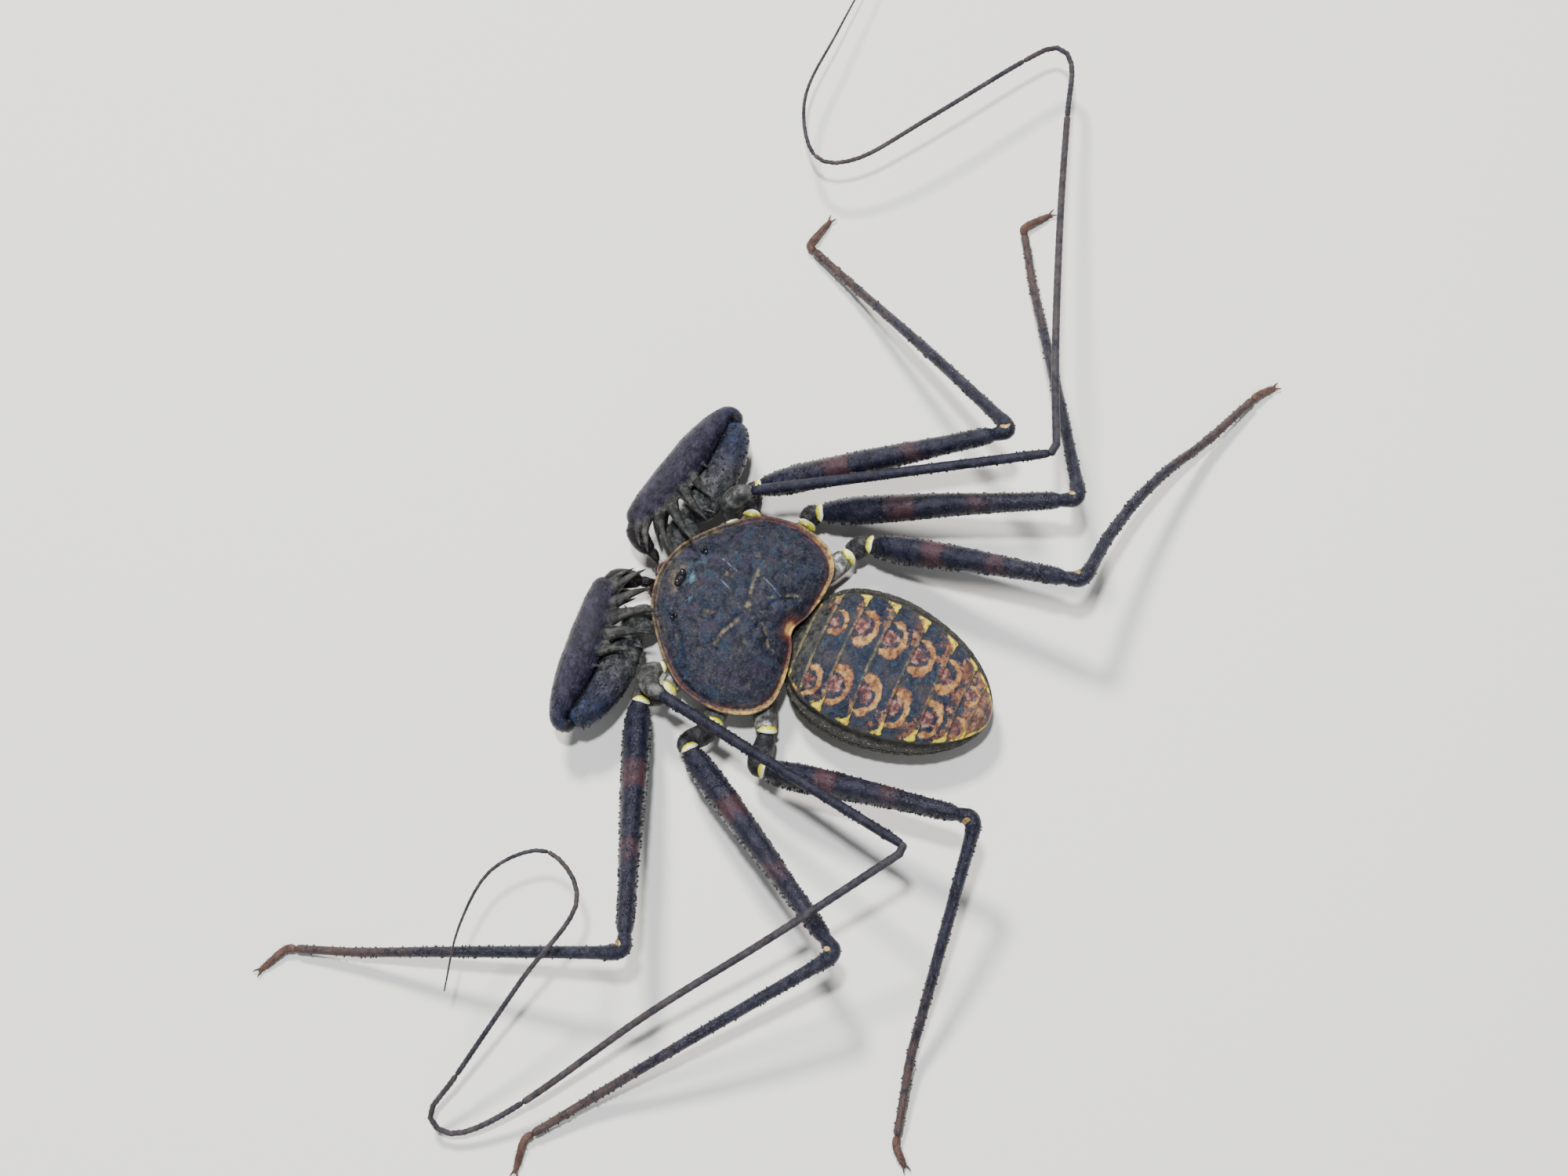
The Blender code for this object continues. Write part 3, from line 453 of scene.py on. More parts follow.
marks = {
    "rim": np.clip(1.5 - from_edge / lip_width, 0, 1) * on_top,
    "rim_red": np.clip(1.4 - from_edge / (lip_width + 0.22), 0, 1) * np.clip(1.1 - front, 0, 1) * on_top,
    "rim_yellow": rear * corner_x + 0.3 * front,
    "notch": at_notch,
    "streak": (streak + np.exp(-(reach / 0.23) ** 4)) * on_top,
    "dark": np.exp(-(reach / 0.42) ** 4) * on_top,
    "painted_highlight": painted_highlight * on_top,
    "front": (0.85 * front * np.exp(-(from_edge / 0.42) ** 2)
              + 0.9 * np.clip(1.6 - np.hypot(spot_x / 0.8, (spot_y + 4.72) / 0.55), 0, 1)
              * (spot_y < -4.45)) * on_top,
    "mound": np.clip(3 * np.sqrt(mound), 0, 1),
    "sheen": np.exp(-((np.abs(spot_x) - 0.7) / 0.9) ** 2 - ((spot_y + 3.9) / 0.45) ** 2) * on_top,
}
mark(carapace, **marks)
picks, roots, normals, dice = surface_points(carapace, 1600, 11,
                                             on_top * (mound < 0.01) * (0.5 + 0.5 * share ** 3))
size = dice.uniform(0.025, 0.055, len(roots)) * (0.9 + 0.1 * share[picks] ** 4)
carapace_granules = scatter("carapace_granules", granule_shape, roots, normals, size, size * 0.7,
                            {key: stored[picks] * 0.6 for key, stored in marks.items()},
                            on_map(carapace_turn[picks] / (2 * math.pi) + 0.5), on_map(share[picks]))
shell, shader, ground = cuticle("carapace_cuticle",
                                ((0.003, 0.005, 0.013), (0.01, 0.011, 0.022), (0.028, 0.028, 0.036)),
                                (0.085, 0.077, 0.062), 0.26, 1, 3000, 1700)
blue = patches(shell, (1250, 6, 0.7), ((0.5, 0), (0.64, 0.75)))
broken = mottle(shell, 2700, 5, 0.72)


def broken_mark(name, *stops):
    """Mark stored on the carapace, broken up by noise."""
    return times(shell, attribute(shell, name), ramp(shell, broken, stops))


notch = attribute(shell, "notch")
lip_tint = mix(shell, attribute(shell, "rim_yellow"), (0.1, 0.06, 0.04),
               patches(shell, (1900, 3), ((0.4, (0.26, 0.13, 0.05)), (0.58, (0.5, 0.37, 0.11)))))
dust = patches(shell, (2600, 3), ((0.38, (0.05, 0.04, 0.026)), (0.62, (0.15, 0.125, 0.08))))
brow = patches(shell, (3000, 4), ((0.35, (0.075, 0.06, 0.037)), (0.65, (0.2, 0.155, 0.085))))
colour = layered(
    shell, ground,
    (blue, (0.012, 0.029, 0.056)),
    (patches(shell, (1150, 5), ((0.53, 0), (0.66, 0.7))), (0.03, 0.022, 0.044)),
    (patches(shell, (6200, 3, 0.6), ((0.61, 0), (0.69, 0.5))), (0.085, 0.09, 0.1)),
    (patches(shell, (5200, 3, 0.6), ((0.34, 0.75), (0.42, 0))), (0.002, 0.002, 0.004)),
    (times(shell, attribute(shell, "sheen"), times(shell, blue, 1.2, True)), (0.1, 0.22, 0.27)),
    (attribute(shell, "dark", 0.8), (0.01, 0.009, 0.012)),
    (broken_mark("streak", (0.42, 0), (0.56, 1)), dust),
    # painted highlight: pale blue-white streaks laid into the colour
    (broken_mark("painted_highlight", (0.44, 0), (0.6, 0.8)), (0.17, 0.2, 0.26)),
    (broken_mark("front", (0.42, 0.1), (0.58, 1)), brow),
    (broken_mark("rim_red", (0.4, 0.1), (0.58, 0.9)), (0.14, 0.05, 0.035)),
    (broken_mark("rim", (0.4, 0.15), (0.54, 1)), lip_tint),
    (notch, ramp(shell, notch, ((0.45, (0.16, 0.04, 0.026)), (0.8, (0.56, 0.33, 0.1))))),
    (attribute(shell, "mound"), (0.008, 0.007, 0.01)))
link(shell, colour, shader.inputs["Base Color"])
link(shell, ramp(shell, attribute(shell, "mound"), ((0, 0.28), (1, 0.1))), shader.inputs["Roughness"])
dress(carapace, shell, "carapace", "carapace")
dress(carapace_granules, shell, "carapace")


# Eyes. A pair of round black eyes on the dark mound at the front of the carapace, and a
# cluster of three small ones at each side; each is a smooth, glassy lens.
eye_glass, shader = new_material("eye_glass", Roughness=0.04, Coat_Weight=0.6, Coat_Roughness=0.03)
link(eye_glass, patches(eye_glass, (4000,), ((0.3, (0.004, 0.004, 0.006)), (0.8, (0.015, 0.012, 0.02)))),
     shader.inputs["Base Color"])
sides = {"L": 1, "R": -1}
# Each lens: how far out and back of the middle, and its radius
eye_lenses = {"median_eye_": ((0, 0, 0.23),),
              "lateral_eyes_": ((0.15, 0, 0.13), (-0.075, 0.13, 0.13), (-0.075, -0.13, 0.13))}
for name, side in sides.items():
    for kind, lenses in eye_lenses.items():
        node = kind + name
        low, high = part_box(node)
        middle = 1000 * (low + high) / 2 - middle_in_frame
        balls = []
        for x, y, radius in lenses:
            ball = add_primitive(bpy.ops.mesh.primitive_uv_sphere_add, "lens", segments=28, ring_count=16,
                                 radius=radius)
            lift = 1000 * high.z - radius - 0.3 * x * (len(lenses) > 1)
            ball.data.transform(Matrix.Translation((middle.x + side * x, middle.y + y, lift)))
            bpy.ops.object.shade_smooth()
            balls.append(ball)
        if len(balls) > 1:
            join_to(*balls)
        balls[0].name = node + "_lens"
        dress(balls[0], eye_glass, "eyes", node)


# Abdomen. A soft, flattened sack under a row of overlapping plates, each darker in front and
# edged with a thin pale line behind; the sides are folded skin, the belly has plates too.
# Place along the body, half width, height of the top and of the bottom
abdomen_shape = ((2.9, 0, 2.1, 2.1), (2.95, 0.8, 2.35, 1.7), (3.35, 1.9, 2.75, 1.42),
                 (3.95, 3.05, 3.25, 1.22), (4.95, 4.08, 3.88, 1.1), (6.3, 4.66, 4.32, 1.02),
                 (8.1, 4.92, 4.6, 1.0), (9.8, 4.83, 4.62, 1.0), (11.9, 4.34, 4.4, 1.08),
                 (13.7, 3.55, 3.98, 1.25), (15.1, 2.5, 3.48, 1.5), (16.0, 1.4, 3.1, 1.72),
                 (16.35, 0.65, 2.8, 2.0), (16.45, 0, 2.4, 2.4))
# Front edges of the plates, and how far up and down from the sides the upper and the lower ones
# begin, in degrees
plate_starts = (3.2, 3.95, 4.95, 6.55, 8.45, 10.57, 12.67, 14.43, 15.42, 15.98, 16.5)
plate_edge = 33
belly_edge = 14
plate_curve, widest_half = 0.2, 4.6
# Middles of the ringed marks on the right and on the left: x, y, size and how far they smear backwards
ring_marks = ((-1.47, 5.4, 0.72, 0), (-1.73, 7.08, 0.98, 0.1), (-1.7, 8.99, 1, 0.25),
              (-1.34, 11.03, 1, 0.55), (-1.03, 12.96, 0.95, 0.9), (-0.62, 14.85, 0.55, 1),
              (2.49, 5.36, 0.78, 0), (2.26, 6.96, 0.98, 0.1), (2.17, 8.9, 1, 0.3),
              (2.16, 10.87, 1, 0.6), (1.88, 12.99, 0.95, 0.9), (1.5, 14.8, 0.55, 1))
abdomen, abdomen_share, abdomen_turn = add_sphere("abdomen_skin", 290, 300)
upper_line = curve_through([row[:3] for row in abdomen_shape], 12)
lower_line = curve_through([(row[0], row[3], 0) for row in abdomen_shape], 12)
dense = np.array([(*a, b.y) for a, b in zip(upper_line, lower_line)])
along = np.interp(abdomen_share, (0, 0.04, 0.08, 0.94, 0.98, 1), (2.9, 2.95, 3.4, 16.05, 16.4, 16.45))
half, top, bottom = (np.interp(along, dense[:, 0], dense[:, column]) for column in (1, 2, 3))
level = np.minimum(2.4, (top + bottom) / 2)
turn = np.degrees(abdomen_turn)
across = np.cos(abdomen_turn)
upward = np.sin(abdomen_turn)
from_side = np.where(turn > 0, np.minimum(turn, 180 - turn), np.maximum(turn, -180 - turn))
on_plate = np.clip((from_side - plate_edge + 2) / 3, 0, 1)
on_belly = np.clip((-from_side - belly_edge) / 6, 0, 1)
row_place = along - plate_curve * (half * across / widest_half) ** 2
starts = np.array(plate_starts)
row = np.clip(np.searchsorted(starts, row_place) - 1, 0, len(starts) - 2)
row_start = starts[row]
row_end = starts[row + 1]
plate_share = np.clip((row_place - row_start) / (row_end - row_start), 0, 1)
step = np.clip((row_end - row_place) / 0.06, 0, 1)
full = np.clip((along - 3.1) / 0.8, 0, 1) * np.clip((16.3 - along) / 0.5, 0, 1)
raised = (0.03 + 0.09 * plate_share) * step * full * on_plate
folds = np.clip(1 - on_plate - on_belly, 0, 1) * full
fold_wave = np.cos(np.radians((from_side - belly_edge) * 20))
raised += folds * (0.1 * fold_wave + 0.03 * np.sin(along * 9) * np.cos(np.radians(from_side * 9)))
raised += on_belly * full * 0.05 * plate_share * step
pits, ring, blush, smear = np.zeros((4, len(along)))
spot_x = half * across
to_edge = np.clip((from_side - plate_edge) / 22, 0, 1)
left_in_row = row_end - row_place
for middle_x, middle_y, size, back_smear in ring_marks:
    side = 1 if middle_x > 0 else -1
    out = (spot_x - middle_x) * side
    behind = row_place - middle_y + plate_curve * (middle_x / widest_half) ** 2
    reach = np.hypot(out, behind) / (1.16 * size)
    angle = np.degrees(np.arctan2(behind, -out))
    angle = np.where(angle < -90, angle + 360, angle)
    middle_reach = np.interp(angle, (-32, 10, 60, 100, 150, 203), (0.86, 0.82, 0.7, 0.66, 0.8, 1.02))
    width = np.interp(angle, (-32, -14, 18, 60, 100, 145, 182, 203), (0, 0.3, 0.44, 0.27, 0.2, 0.2, 0.28, 0))
    ring = np.maximum(ring, np.clip(1.25 - np.abs(reach - middle_reach) / np.maximum(width, 0.01), 0, 1)
                      * (width > 0.01) * on_plate)
    blush = np.maximum(blush, np.exp(-(np.hypot(out, behind + 0.12) / (0.56 * size)) ** 4) * on_plate)
    pits = np.maximum(pits, np.exp(-(np.hypot(out + 0.1, behind - 0.1) / size / 0.22) ** 2))
    # a warm stain runs from the mark along the rear edge of its plate to the corner
    beside = np.clip((out - 0.1) / 0.6, 0, 1) * (np.sign(spot_x) == side) * (np.abs(behind) < 1.6)
    reach_in = 0.5 + 0.5 * back_smear
    stain = beside * np.clip(1.3 - left_in_row / reach_in, 0, 1) * (0.8 + 0.2 * back_smear)
    smear = np.maximum(smear, stain * on_plate)
smear = np.maximum(smear, np.clip((along - 13.2) / 1.6, 0, 0.8) * on_plate
                   * np.clip(1.5 - left_in_row / 0.6, 0, 1))
raised -= 0.05 * pits * on_plate
above = np.where(turn > 0, top - level, level - bottom)
spots = np.stack(((half + raised * 0.8) * across, along, level + (above + raised) * upward), 1)
put_points(abdomen, spots)
smooth_outward()
corner_long = 0.4 + 0.25 * np.exp(-(to_edge / 0.3) ** 2)
corner = np.clip(1.75 - left_in_row / corner_long - to_edge / 0.6, 0, 1) * on_plate
corner *= np.clip((along - 4.3) / 2, 0.35, 1)
line = np.clip(1.4 - np.abs(left_in_row - 0.09) / 0.09, 0, 1) * on_plate * full
seam = np.exp(-((row_place - row_start - 0.02) / 0.035) ** 2) * np.maximum(on_plate, on_belly) * full
mark(abdomen, ring=ring, blush=blush, smear=smear, corner=corner, line=line, seam=seam, plate=on_plate,
     belly=on_belly, front=np.clip((5.9 - along) / 1.9, 0, 1) * on_plate,
     rear=np.clip((along - 13.9) / 1.2, 0, 1) * on_plate, fold=folds * (0.5 + 0.5 * fold_wave))
dice = np.random.default_rng(23)
roots, ways, sizes, places = [], [], [], []
for level_turn, gap, size in ((20, 0.5, 0.03), (13, 0.3, 0.045), (5, 0.22, 0.042)):
    for side in (1, -1):
        for place in np.arange(4.1, 15.9, gap):
            place += dice.uniform(-0.13, 0.13)
            angle = math.radians(level_turn + dice.uniform(-2, 2))
            if side < 0:
                angle = math.pi - angle
            near = np.argmin((along - place) ** 2 + (spots[:, 0] / half.clip(0.1) - math.cos(angle)) ** 2 * 9
                             + (upward < 0) * 100)
            roots.append(spots[near])
            ways.append((math.cos(angle), 0, max(math.sin(angle), 0.1)))
            sizes.append(size * dice.uniform(0.6, 1.2))
            places.append((angle / (2 * math.pi) + 0.25, (place - 2.9) / 14))
roots, ways, sizes, places = (np.array(values) for values in (roots, ways, sizes, places))
abdomen_granules = scatter("abdomen_granules", granule_shape, roots, ways, sizes, sizes * 0.7,
                           {"tone": dice.uniform(0, 1, len(roots))}, on_map(places[:, 0]),
                           on_map(places[:, 1]))
skin, shader, ground = cuticle("abdomen_cuticle",
                               ((0.003, 0.007, 0.018), (0.006, 0.012, 0.029), (0.018, 0.022, 0.036)),
                               (0.045, 0.041, 0.035), 0.28, 1, 3000, 1300)
ragged = blotches(skin, 2100, 5, 0.66)


def ragged_edge(name, width=0.5, strength=1.0):
    """Mark stored on the abdomen, its edge broken up by noise."""
    stored = attribute(skin, name)
    shifted = maths(skin, "ADD", stored, past(skin, ragged, 0.55, width * 1.7))
    sharp = past(skin, shifted, 0.35, 2.6, True)
    return times(skin, times(skin, sharp, times(skin, stored, 6, True)), strength)


def coat_cuticle(name, tones, dust, roughness, field, tint):
    """Cuticle of granules and hairs; a field stored on them brings in the tint."""
    material, shader, ground = cuticle(name, tones, dust, roughness, 0.3)
    link(material, mix(material, attribute(material, field), ground, tint), shader.inputs["Base Color"])
    return material


# the plates' ground, then the stain and the pale rear line, the rings, and what lies over them
grey = layered(
    skin, ground,
    (patches(skin, (1700, 4), ((0.55, 0), (0.7, 0.7))), (0.014, 0.048, 0.085)),
    (patches(skin, (700, 5, 0.7), ((0.5, 0), (0.64, 0.8))), (0.042, 0.033, 0.034)),
    (attribute(skin, "front", 0.85),
     patches(skin, (2600, 5, 0.7), ((0.4, (0.012, 0.014, 0.015)), (0.6, (0.07, 0.066, 0.05))))),
    (attribute(skin, "rear", 0.75),
     patches(skin, (1500, 4), ((0.42, (0.03, 0.032, 0.05)), (0.52, (0.085, 0.06, 0.07)),
                               (0.6, (0.2, 0.1, 0.06))))))
stain = patches(skin, (1800, 4),
                ((0.4, (0.085, 0.03, 0.022)), (0.52, (0.2, 0.075, 0.035)), (0.62, (0.32, 0.17, 0.09))))
border = ramp(skin, ragged, ((0.15, (0.06, 0.05, 0.034)), (0.85, (0.2, 0.155, 0.075))))
tan = patches(skin, (1700, 4, 0.65),
              ((0.38, (0.13, 0.045, 0.02)), (0.5, (0.29, 0.14, 0.045)), (0.6, (0.43, 0.27, 0.09))))
rusty = patches(skin, (2400, 4), ((0.38, (0.1, 0.028, 0.018)), (0.6, (0.28, 0.1, 0.045))))
ring_middle = maths(skin, "ADD", maths(skin, "SUBTRACT", attribute(skin, "ring"), 0.62),
                    times(skin, ragged, 0.4))
centre = patches(skin, (2100, 4, 0.65), ((0.4, (0.03, 0.016, 0.024)), (0.47, (0.1, 0.032, 0.026)),
                                         (0.54, (0.19, 0.07, 0.052)), (0.62, (0.27, 0.18, 0.16))))
yellow = patches(skin, (2400, 3), ((0.38, (0.45, 0.25, 0.03)), (0.52, (0.68, 0.56, 0.03))))
colour = layered(
    skin, grey,
    (ragged_edge("smear", 0.75, 0.92), stain),
    (times(skin, attribute(skin, "line"), maths(skin, "ADD", times(skin, ragged, 0.45), 0.4)), border),
    (ragged_edge("ring", 0.42, 0.95), mix(skin, times(skin, ring_middle, 2.4, True), rusty, tan)),
    (ragged_edge("blush", 0.45, 0.9), centre),
    (ragged_edge("corner", 0.4), yellow),
    (attribute(skin, "seam", 0.85), (0.008, 0.008, 0.01)),
    (patches(skin, (6200, 3, 0.6), ((0.62, 0), (0.7, 0.45))), (0.11, 0.11, 0.105)),
    (patches(skin, (5200, 3, 0.6), ((0.34, 0.7), (0.42, 0))), (0.004, 0.004, 0.006)))
folded = mix(skin, attribute(skin, "fold", 0.5),
             patches(skin, (3000, 5, 0.7), ((0.42, (0.008, 0.008, 0.009)), (0.66, (0.045, 0.042, 0.034)))),
             (0.04, 0.038, 0.032))
belly = mix(skin, attribute(skin, "seam"),
            patches(skin, (900, 5, 0.7), ((0.35, (0.05, 0.036, 0.028)), (0.65, (0.13, 0.095, 0.065)))),
            (0.02, 0.014, 0.01))
colour = mix(skin, attribute(skin, "plate"), mix(skin, attribute(skin, "belly"), folded, belly), colour)
link(skin, colour, shader.inputs["Base Color"])
dress(abdomen, skin, "abdomen", "abdomen")
pale_grain = coat_cuticle("abdomen_granule_cuticle",
                          ((0.05, 0.05, 0.04), (0.12, 0.115, 0.08), (0.22, 0.21, 0.14)),
                          (0.1, 0.1, 0.07), 0.3, "tone", (0.32, 0.31, 0.21))
dress(abdomen_granules, pale_grain, "abdomen")


# Underside of the front body. The breast plate and the first leg joints, the coxae, are one
# dull brown form that stays mostly under the carapace; each coxa ends in a pale soft joint.
coxa_start = (1.4, 1.85)
# The whip's coxa turns up round the pincer's
whip_coxa_turn = (4.55, -3.15, 1.9)
# Free end of each coxa on the left side, then its half width and half depth
coxae = {
    "palp": (2.9, -5.0, 1.85, 0.95, 0.75),
    "1": (5.35, -3.65, 2.4, 0.46, 0.46),
    "2": (6.25, -2.7, 1.85, 0.7, 0.7),
    "3": (7.1, 0.75, 1.85, 0.78, 0.75),
    "4": (6.3, 4.05, 1.85, 0.78, 0.75),
}
up = Vector((0, 0, 1))


def line_lengths(line):
    lengths = [0]
    for a, b in zip(line, line[1:]):
        lengths.append(lengths[-1] + (b - a).length)
    return lengths


def point_on(line, lengths, distance):
    """Point and direction at a distance along the line; the ends run on straight."""
    index = max([0] + [i for i, length in enumerate(lengths[:-1]) if length <= distance])
    run = line[index + 1] - line[index]
    share = (distance - lengths[index]) / run.length
    ahead = line[min(index + 2, len(line) - 1)] - line[index + 1]
    behind = line[index] - line[max(index - 1, 0)]
    start_way = (behind.normalized() + run.normalized()) if behind.length else run.normalized()
    end_way = (ahead.normalized() + run.normalized()) if ahead.length else run.normalized()
    near = min(max(share, 0), 1)
    way = start_way.normalized() * (1 - near) + end_way.normalized() * near
    return line[index] + run * share, way.normalized()


def halves_at(shape, share):
    """Half width and half depth at a share of the length."""
    stops = [row[0] for row in shape]
    return [np.interp(share, stops, [row[column] for row in shape]) for column in (1, 2)]


def add_limb(name, line, shape, sides=16, spacing=0.3, reach=(0.2, 0.2)):
    """Segment of a limb: a small disc extruded in steps, laid along the segment's line, ends rounded.

    The reach is how far each end runs past the line, into the joint.
    """
    lengths = line_lengths(line)
    whole = lengths[-1] + reach[0] + reach[1]
    count = max(8, round(whole / spacing))
    item = add_primitive(bpy.ops.mesh.primitive_circle_add, name, vertices=sides, radius=1,
                         fill_type="TRIFAN")
    bpy.ops.object.mode_set(mode="EDIT")
    bpy.ops.mesh.select_all(action="SELECT")
    bpy.ops.mesh.extrude_repeat(steps=count, offset=(0, 0, 1))
    bpy.ops.mesh.select_all(action="SELECT")
    bpy.ops.mesh.normals_make_consistent(inside=False)
    bpy.ops.object.mode_set(mode="OBJECT")
    discs = points_of(item)
    levels = np.rint(np.abs(discs[:, 2])).astype(int)
    # rings stand closer together near both ends, where they round off
    even = np.arange(count + 1) / count
    stations = whole * (0.75 * even + 0.25 * (0.5 - 0.5 * np.cos(math.pi * even)))
    places, sides_on, overs, halves = [], [], [], []
    for station in stations:
        distance = station - reach[0]
        place, way = point_on(line, lengths, distance)
        share = min(max(distance / lengths[-1], 0), 1)
        width, depth = halves_at(shape, share)
        edge = min(station, whole - station)
        rounding = min(width, depth) * 0.9
        close = 1 - max(0, 1 - edge / rounding)
        pinch = math.sqrt(max(0, 1 - (1 - close) ** 2)) * 0.93 + 0.07
        side = way.cross(up).normalized()
        places.append(place)
        sides_on.append(side)
        overs.append(side.cross(way))
        halves.append((width * pinch, depth * pinch))
    widths, depths = (np.array([half[0], *np.convolve(half, (0.25, 0.5, 0.25), "valid"), half[-1]])
                      for half in zip(*halves))
    places, sides_on, overs = (np.array(values) for values in (places, sides_on, overs))
    spots = (places[levels] + sides_on[levels] * (discs[:, :1] * widths[levels][:, None])
             + overs[levels] * (discs[:, 1:2] * depths[levels][:, None]))
    put_points(item, spots)
    mark(item, along=np.clip((stations[levels] - reach[0]) / lengths[-1], 0, 1), over=discs[:, 1])
    smooth_outward()
    return item


def limb_roots(line, shape, shares, turns):
    """Points on a limb's surface, with the outward and the onward direction at each."""
    lengths = line_lengths(line)
    roots, outs, onwards = [], [], []
    for share, turn in zip(shares, turns):
        place, way = point_on(line, lengths, share * lengths[-1])
        width, depth = halves_at(shape, share)
        side = way.cross(up).normalized()
        over = side.cross(way)
        roots.append(place + side * width * math.cos(turn) + over * depth * math.sin(turn))
        outs.append((side * math.cos(turn) / width + over * math.sin(turn) / depth).normalized())
        onwards.append(way)
    return np.array(roots), np.array(outs), np.array(onwards)


def limb_strip(row, angles):
    """Place round a limb, on its strip of the flat map."""
    return 0.01 + 0.2 * row + 0.19 * (angles / (2 * math.pi) % 1)


def add_grains(name, line, shape, count, seed, row, low, high, width, tall, turns=None):
    """Fine rounded granules over a limb; the row is the limb's strip of the flat map."""
    dice = np.random.default_rng(seed)
    shares = dice.uniform(low, high, count)
    angles = dice.uniform(0, 2 * math.pi, count) if turns is None else dice.choice(turns, count)
    roots, outs, onwards = limb_roots(line, shape, shares, angles)
    sizes = dice.uniform(*width, count)
    return scatter(name, granule_shape, roots, outs, sizes, sizes * tall, {"hair": np.zeros(count)},
                   on_map(shares), limb_strip(row, angles))


def add_hairs(name, line, shape, count, seed, row, low, high, length, lean, width):
    """Short stiff hairs that lean towards the tip of a limb."""
    dice = np.random.default_rng(seed)
    shares = dice.uniform(low, high, count)
    angles = dice.uniform(0, 2 * math.pi, count)
    roots, outs, onwards = limb_roots(line, shape, shares, angles)
    ways = outs + onwards * lean * dice.uniform(0.6, 1.3, (count, 1)) + dice.normal(0, 0.12, (count, 3))
    lengths = dice.uniform(*length, count)
    return scatter(name, hair_shape, roots - outs * 0.02, ways, np.full(count, width), lengths,
                   {"hair": np.ones(count)}, on_map(shares), limb_strip(row, angles))


def side_curve(points, side, per_span):
    """Smooth line through points given for the left side, or through their mirror images."""
    return curve_through([(side * x, y, z) for x, y, z in points], per_span)


def coxa_line(name, side):
    """Line of a coxa, from inside the underside to its free end."""
    x, y, z = coxae[name][:3]
    start_x, start_z = coxa_start
    points = [(start_x, 0.4 * y, start_z), (x, y, z)]
    if name == "1":
        points.insert(1, whip_coxa_turn)
    return side_curve(points, side, 4)


def blend_together(item, grain, rounds):
    """Melt joined shapes into one closed skin."""
    pick_only(item)
    melt = item.modifiers.new("melt", "REMESH")
    melt.mode = "VOXEL"
    melt.voxel_size = grain
    bpy.ops.object.modifier_apply(modifier="melt")
    ease = item.modifiers.new("ease", "SMOOTH")
    ease.factor = 0.5
    ease.iterations = rounds
    bpy.ops.object.modifier_apply(modifier="ease")
    bpy.ops.object.shade_smooth()


def add_crescent(name, place, way, facing, half, wide, thick, arc):
    """Pale, lens-shaped rim of a joint, bent round one side of a limb."""
    facing = (facing - way * facing.dot(way)).normalized()
    side = way.cross(facing)
    lens, share, turn = add_sphere(name, 14, 24)
    spots = points_of(lens)
    angle = np.radians(arc * spots[:, 2])[:, None]
    out = np.array(facing) * np.cos(angle) + np.array(side) * np.sin(angle)
    narrow = np.sqrt(1.02 - spots[:, 2:] ** 2)
    spots = (np.array(place) + out * (half + thick * spots[:, 1:2])
             + np.array(way) * wide * spots[:, :1] * narrow)
    put_points(lens, spots)
    mark(lens, pale=np.cos(turn) * np.sin(share * math.pi) * 0.5 + 0.5)
    smooth_outward()
    return lens


breast, share, turn = add_sphere("underside_skin", 40, 24)
spots = points_of(breast)
put_points(breast, spots * (4.9, 3.2, 0.72) + (0, -0.35, 1.92))
forms = []
for name in coxae:
    half_width, half_depth = coxae[name][3:]
    shape = ((0, 0.7 * half_width, 0.7 * half_depth), (0.75, half_width, half_depth),
             (1, 0.92 * half_width, 0.92 * half_depth))
    for side in (1, -1):
        forms.append(add_limb("coxa", coxa_line(name, side), shape, 20, 0.3, (0, 0.2)))
join_to(breast, *forms)
blend_together(breast, 0.085, 3)
spots = points_of(breast)
normals = np.array([normal.vector for normal in breast.data.vertex_normals])
outer = np.hypot(spots[:, 0] / 6.0, (spots[:, 1] - 0.2) / 4.4)
mark(breast, upper=np.clip(normals[:, 2] * 1.5, 0, 1) * np.clip((outer - 0.85) / 0.2, 0, 1))
hide, shader, ground = cuticle("coxa_cuticle",
                               ((0.028, 0.02, 0.017), (0.06, 0.043, 0.032), (0.12, 0.085, 0.058)),
                               (0.15, 0.115, 0.085), 0.42, 0.6)
whitish = patches(hide, (1900, 5, 0.7), ((0.42, (0.035, 0.035, 0.036)), (0.54, (0.13, 0.13, 0.12)),
                                         (0.66, (0.46, 0.46, 0.42))))
link(hide, mix(hide, attribute(hide, "upper"), ground, whitish), shader.inputs["Base Color"])
dress(breast, hide, "underside", "prosoma_underside")

joint_rim, shader = new_material("joint_rim", Roughness=0.35)
uneven = past(joint_rim, mottle(joint_rim, 2500, 5, 0.7), 0.3, 1.3)
lime = ramp(joint_rim, maths(joint_rim, "ADD", attribute(joint_rim, "pale"), uneven),
            ((0.3, (0.12, 0.09, 0.02)), (0.48, (0.42, 0.4, 0.015)), (0.8, (0.6, 0.6, 0.04)),
             (1, (0.72, 0.72, 0.5))))
link(joint_rim, lime, shader.inputs["Base Color"])
rim_widths = {"1": 0.18, "2": 0.28, "3": 0.28, "4": 0.28}
for side_name, side in sides.items():
    for name, wide in rim_widths.items():
        before, end = coxa_line(name, side)[-2:]
        way = (end - before).normalized()
        rim = add_crescent("coxa_rim_" + side_name + name, end - way * 0.05, way, Vector((0, 0.35, 1)),
                           coxae[name][4] * 0.9, wide, 0.12, 70)
        dress(rim, joint_rim, "underside")


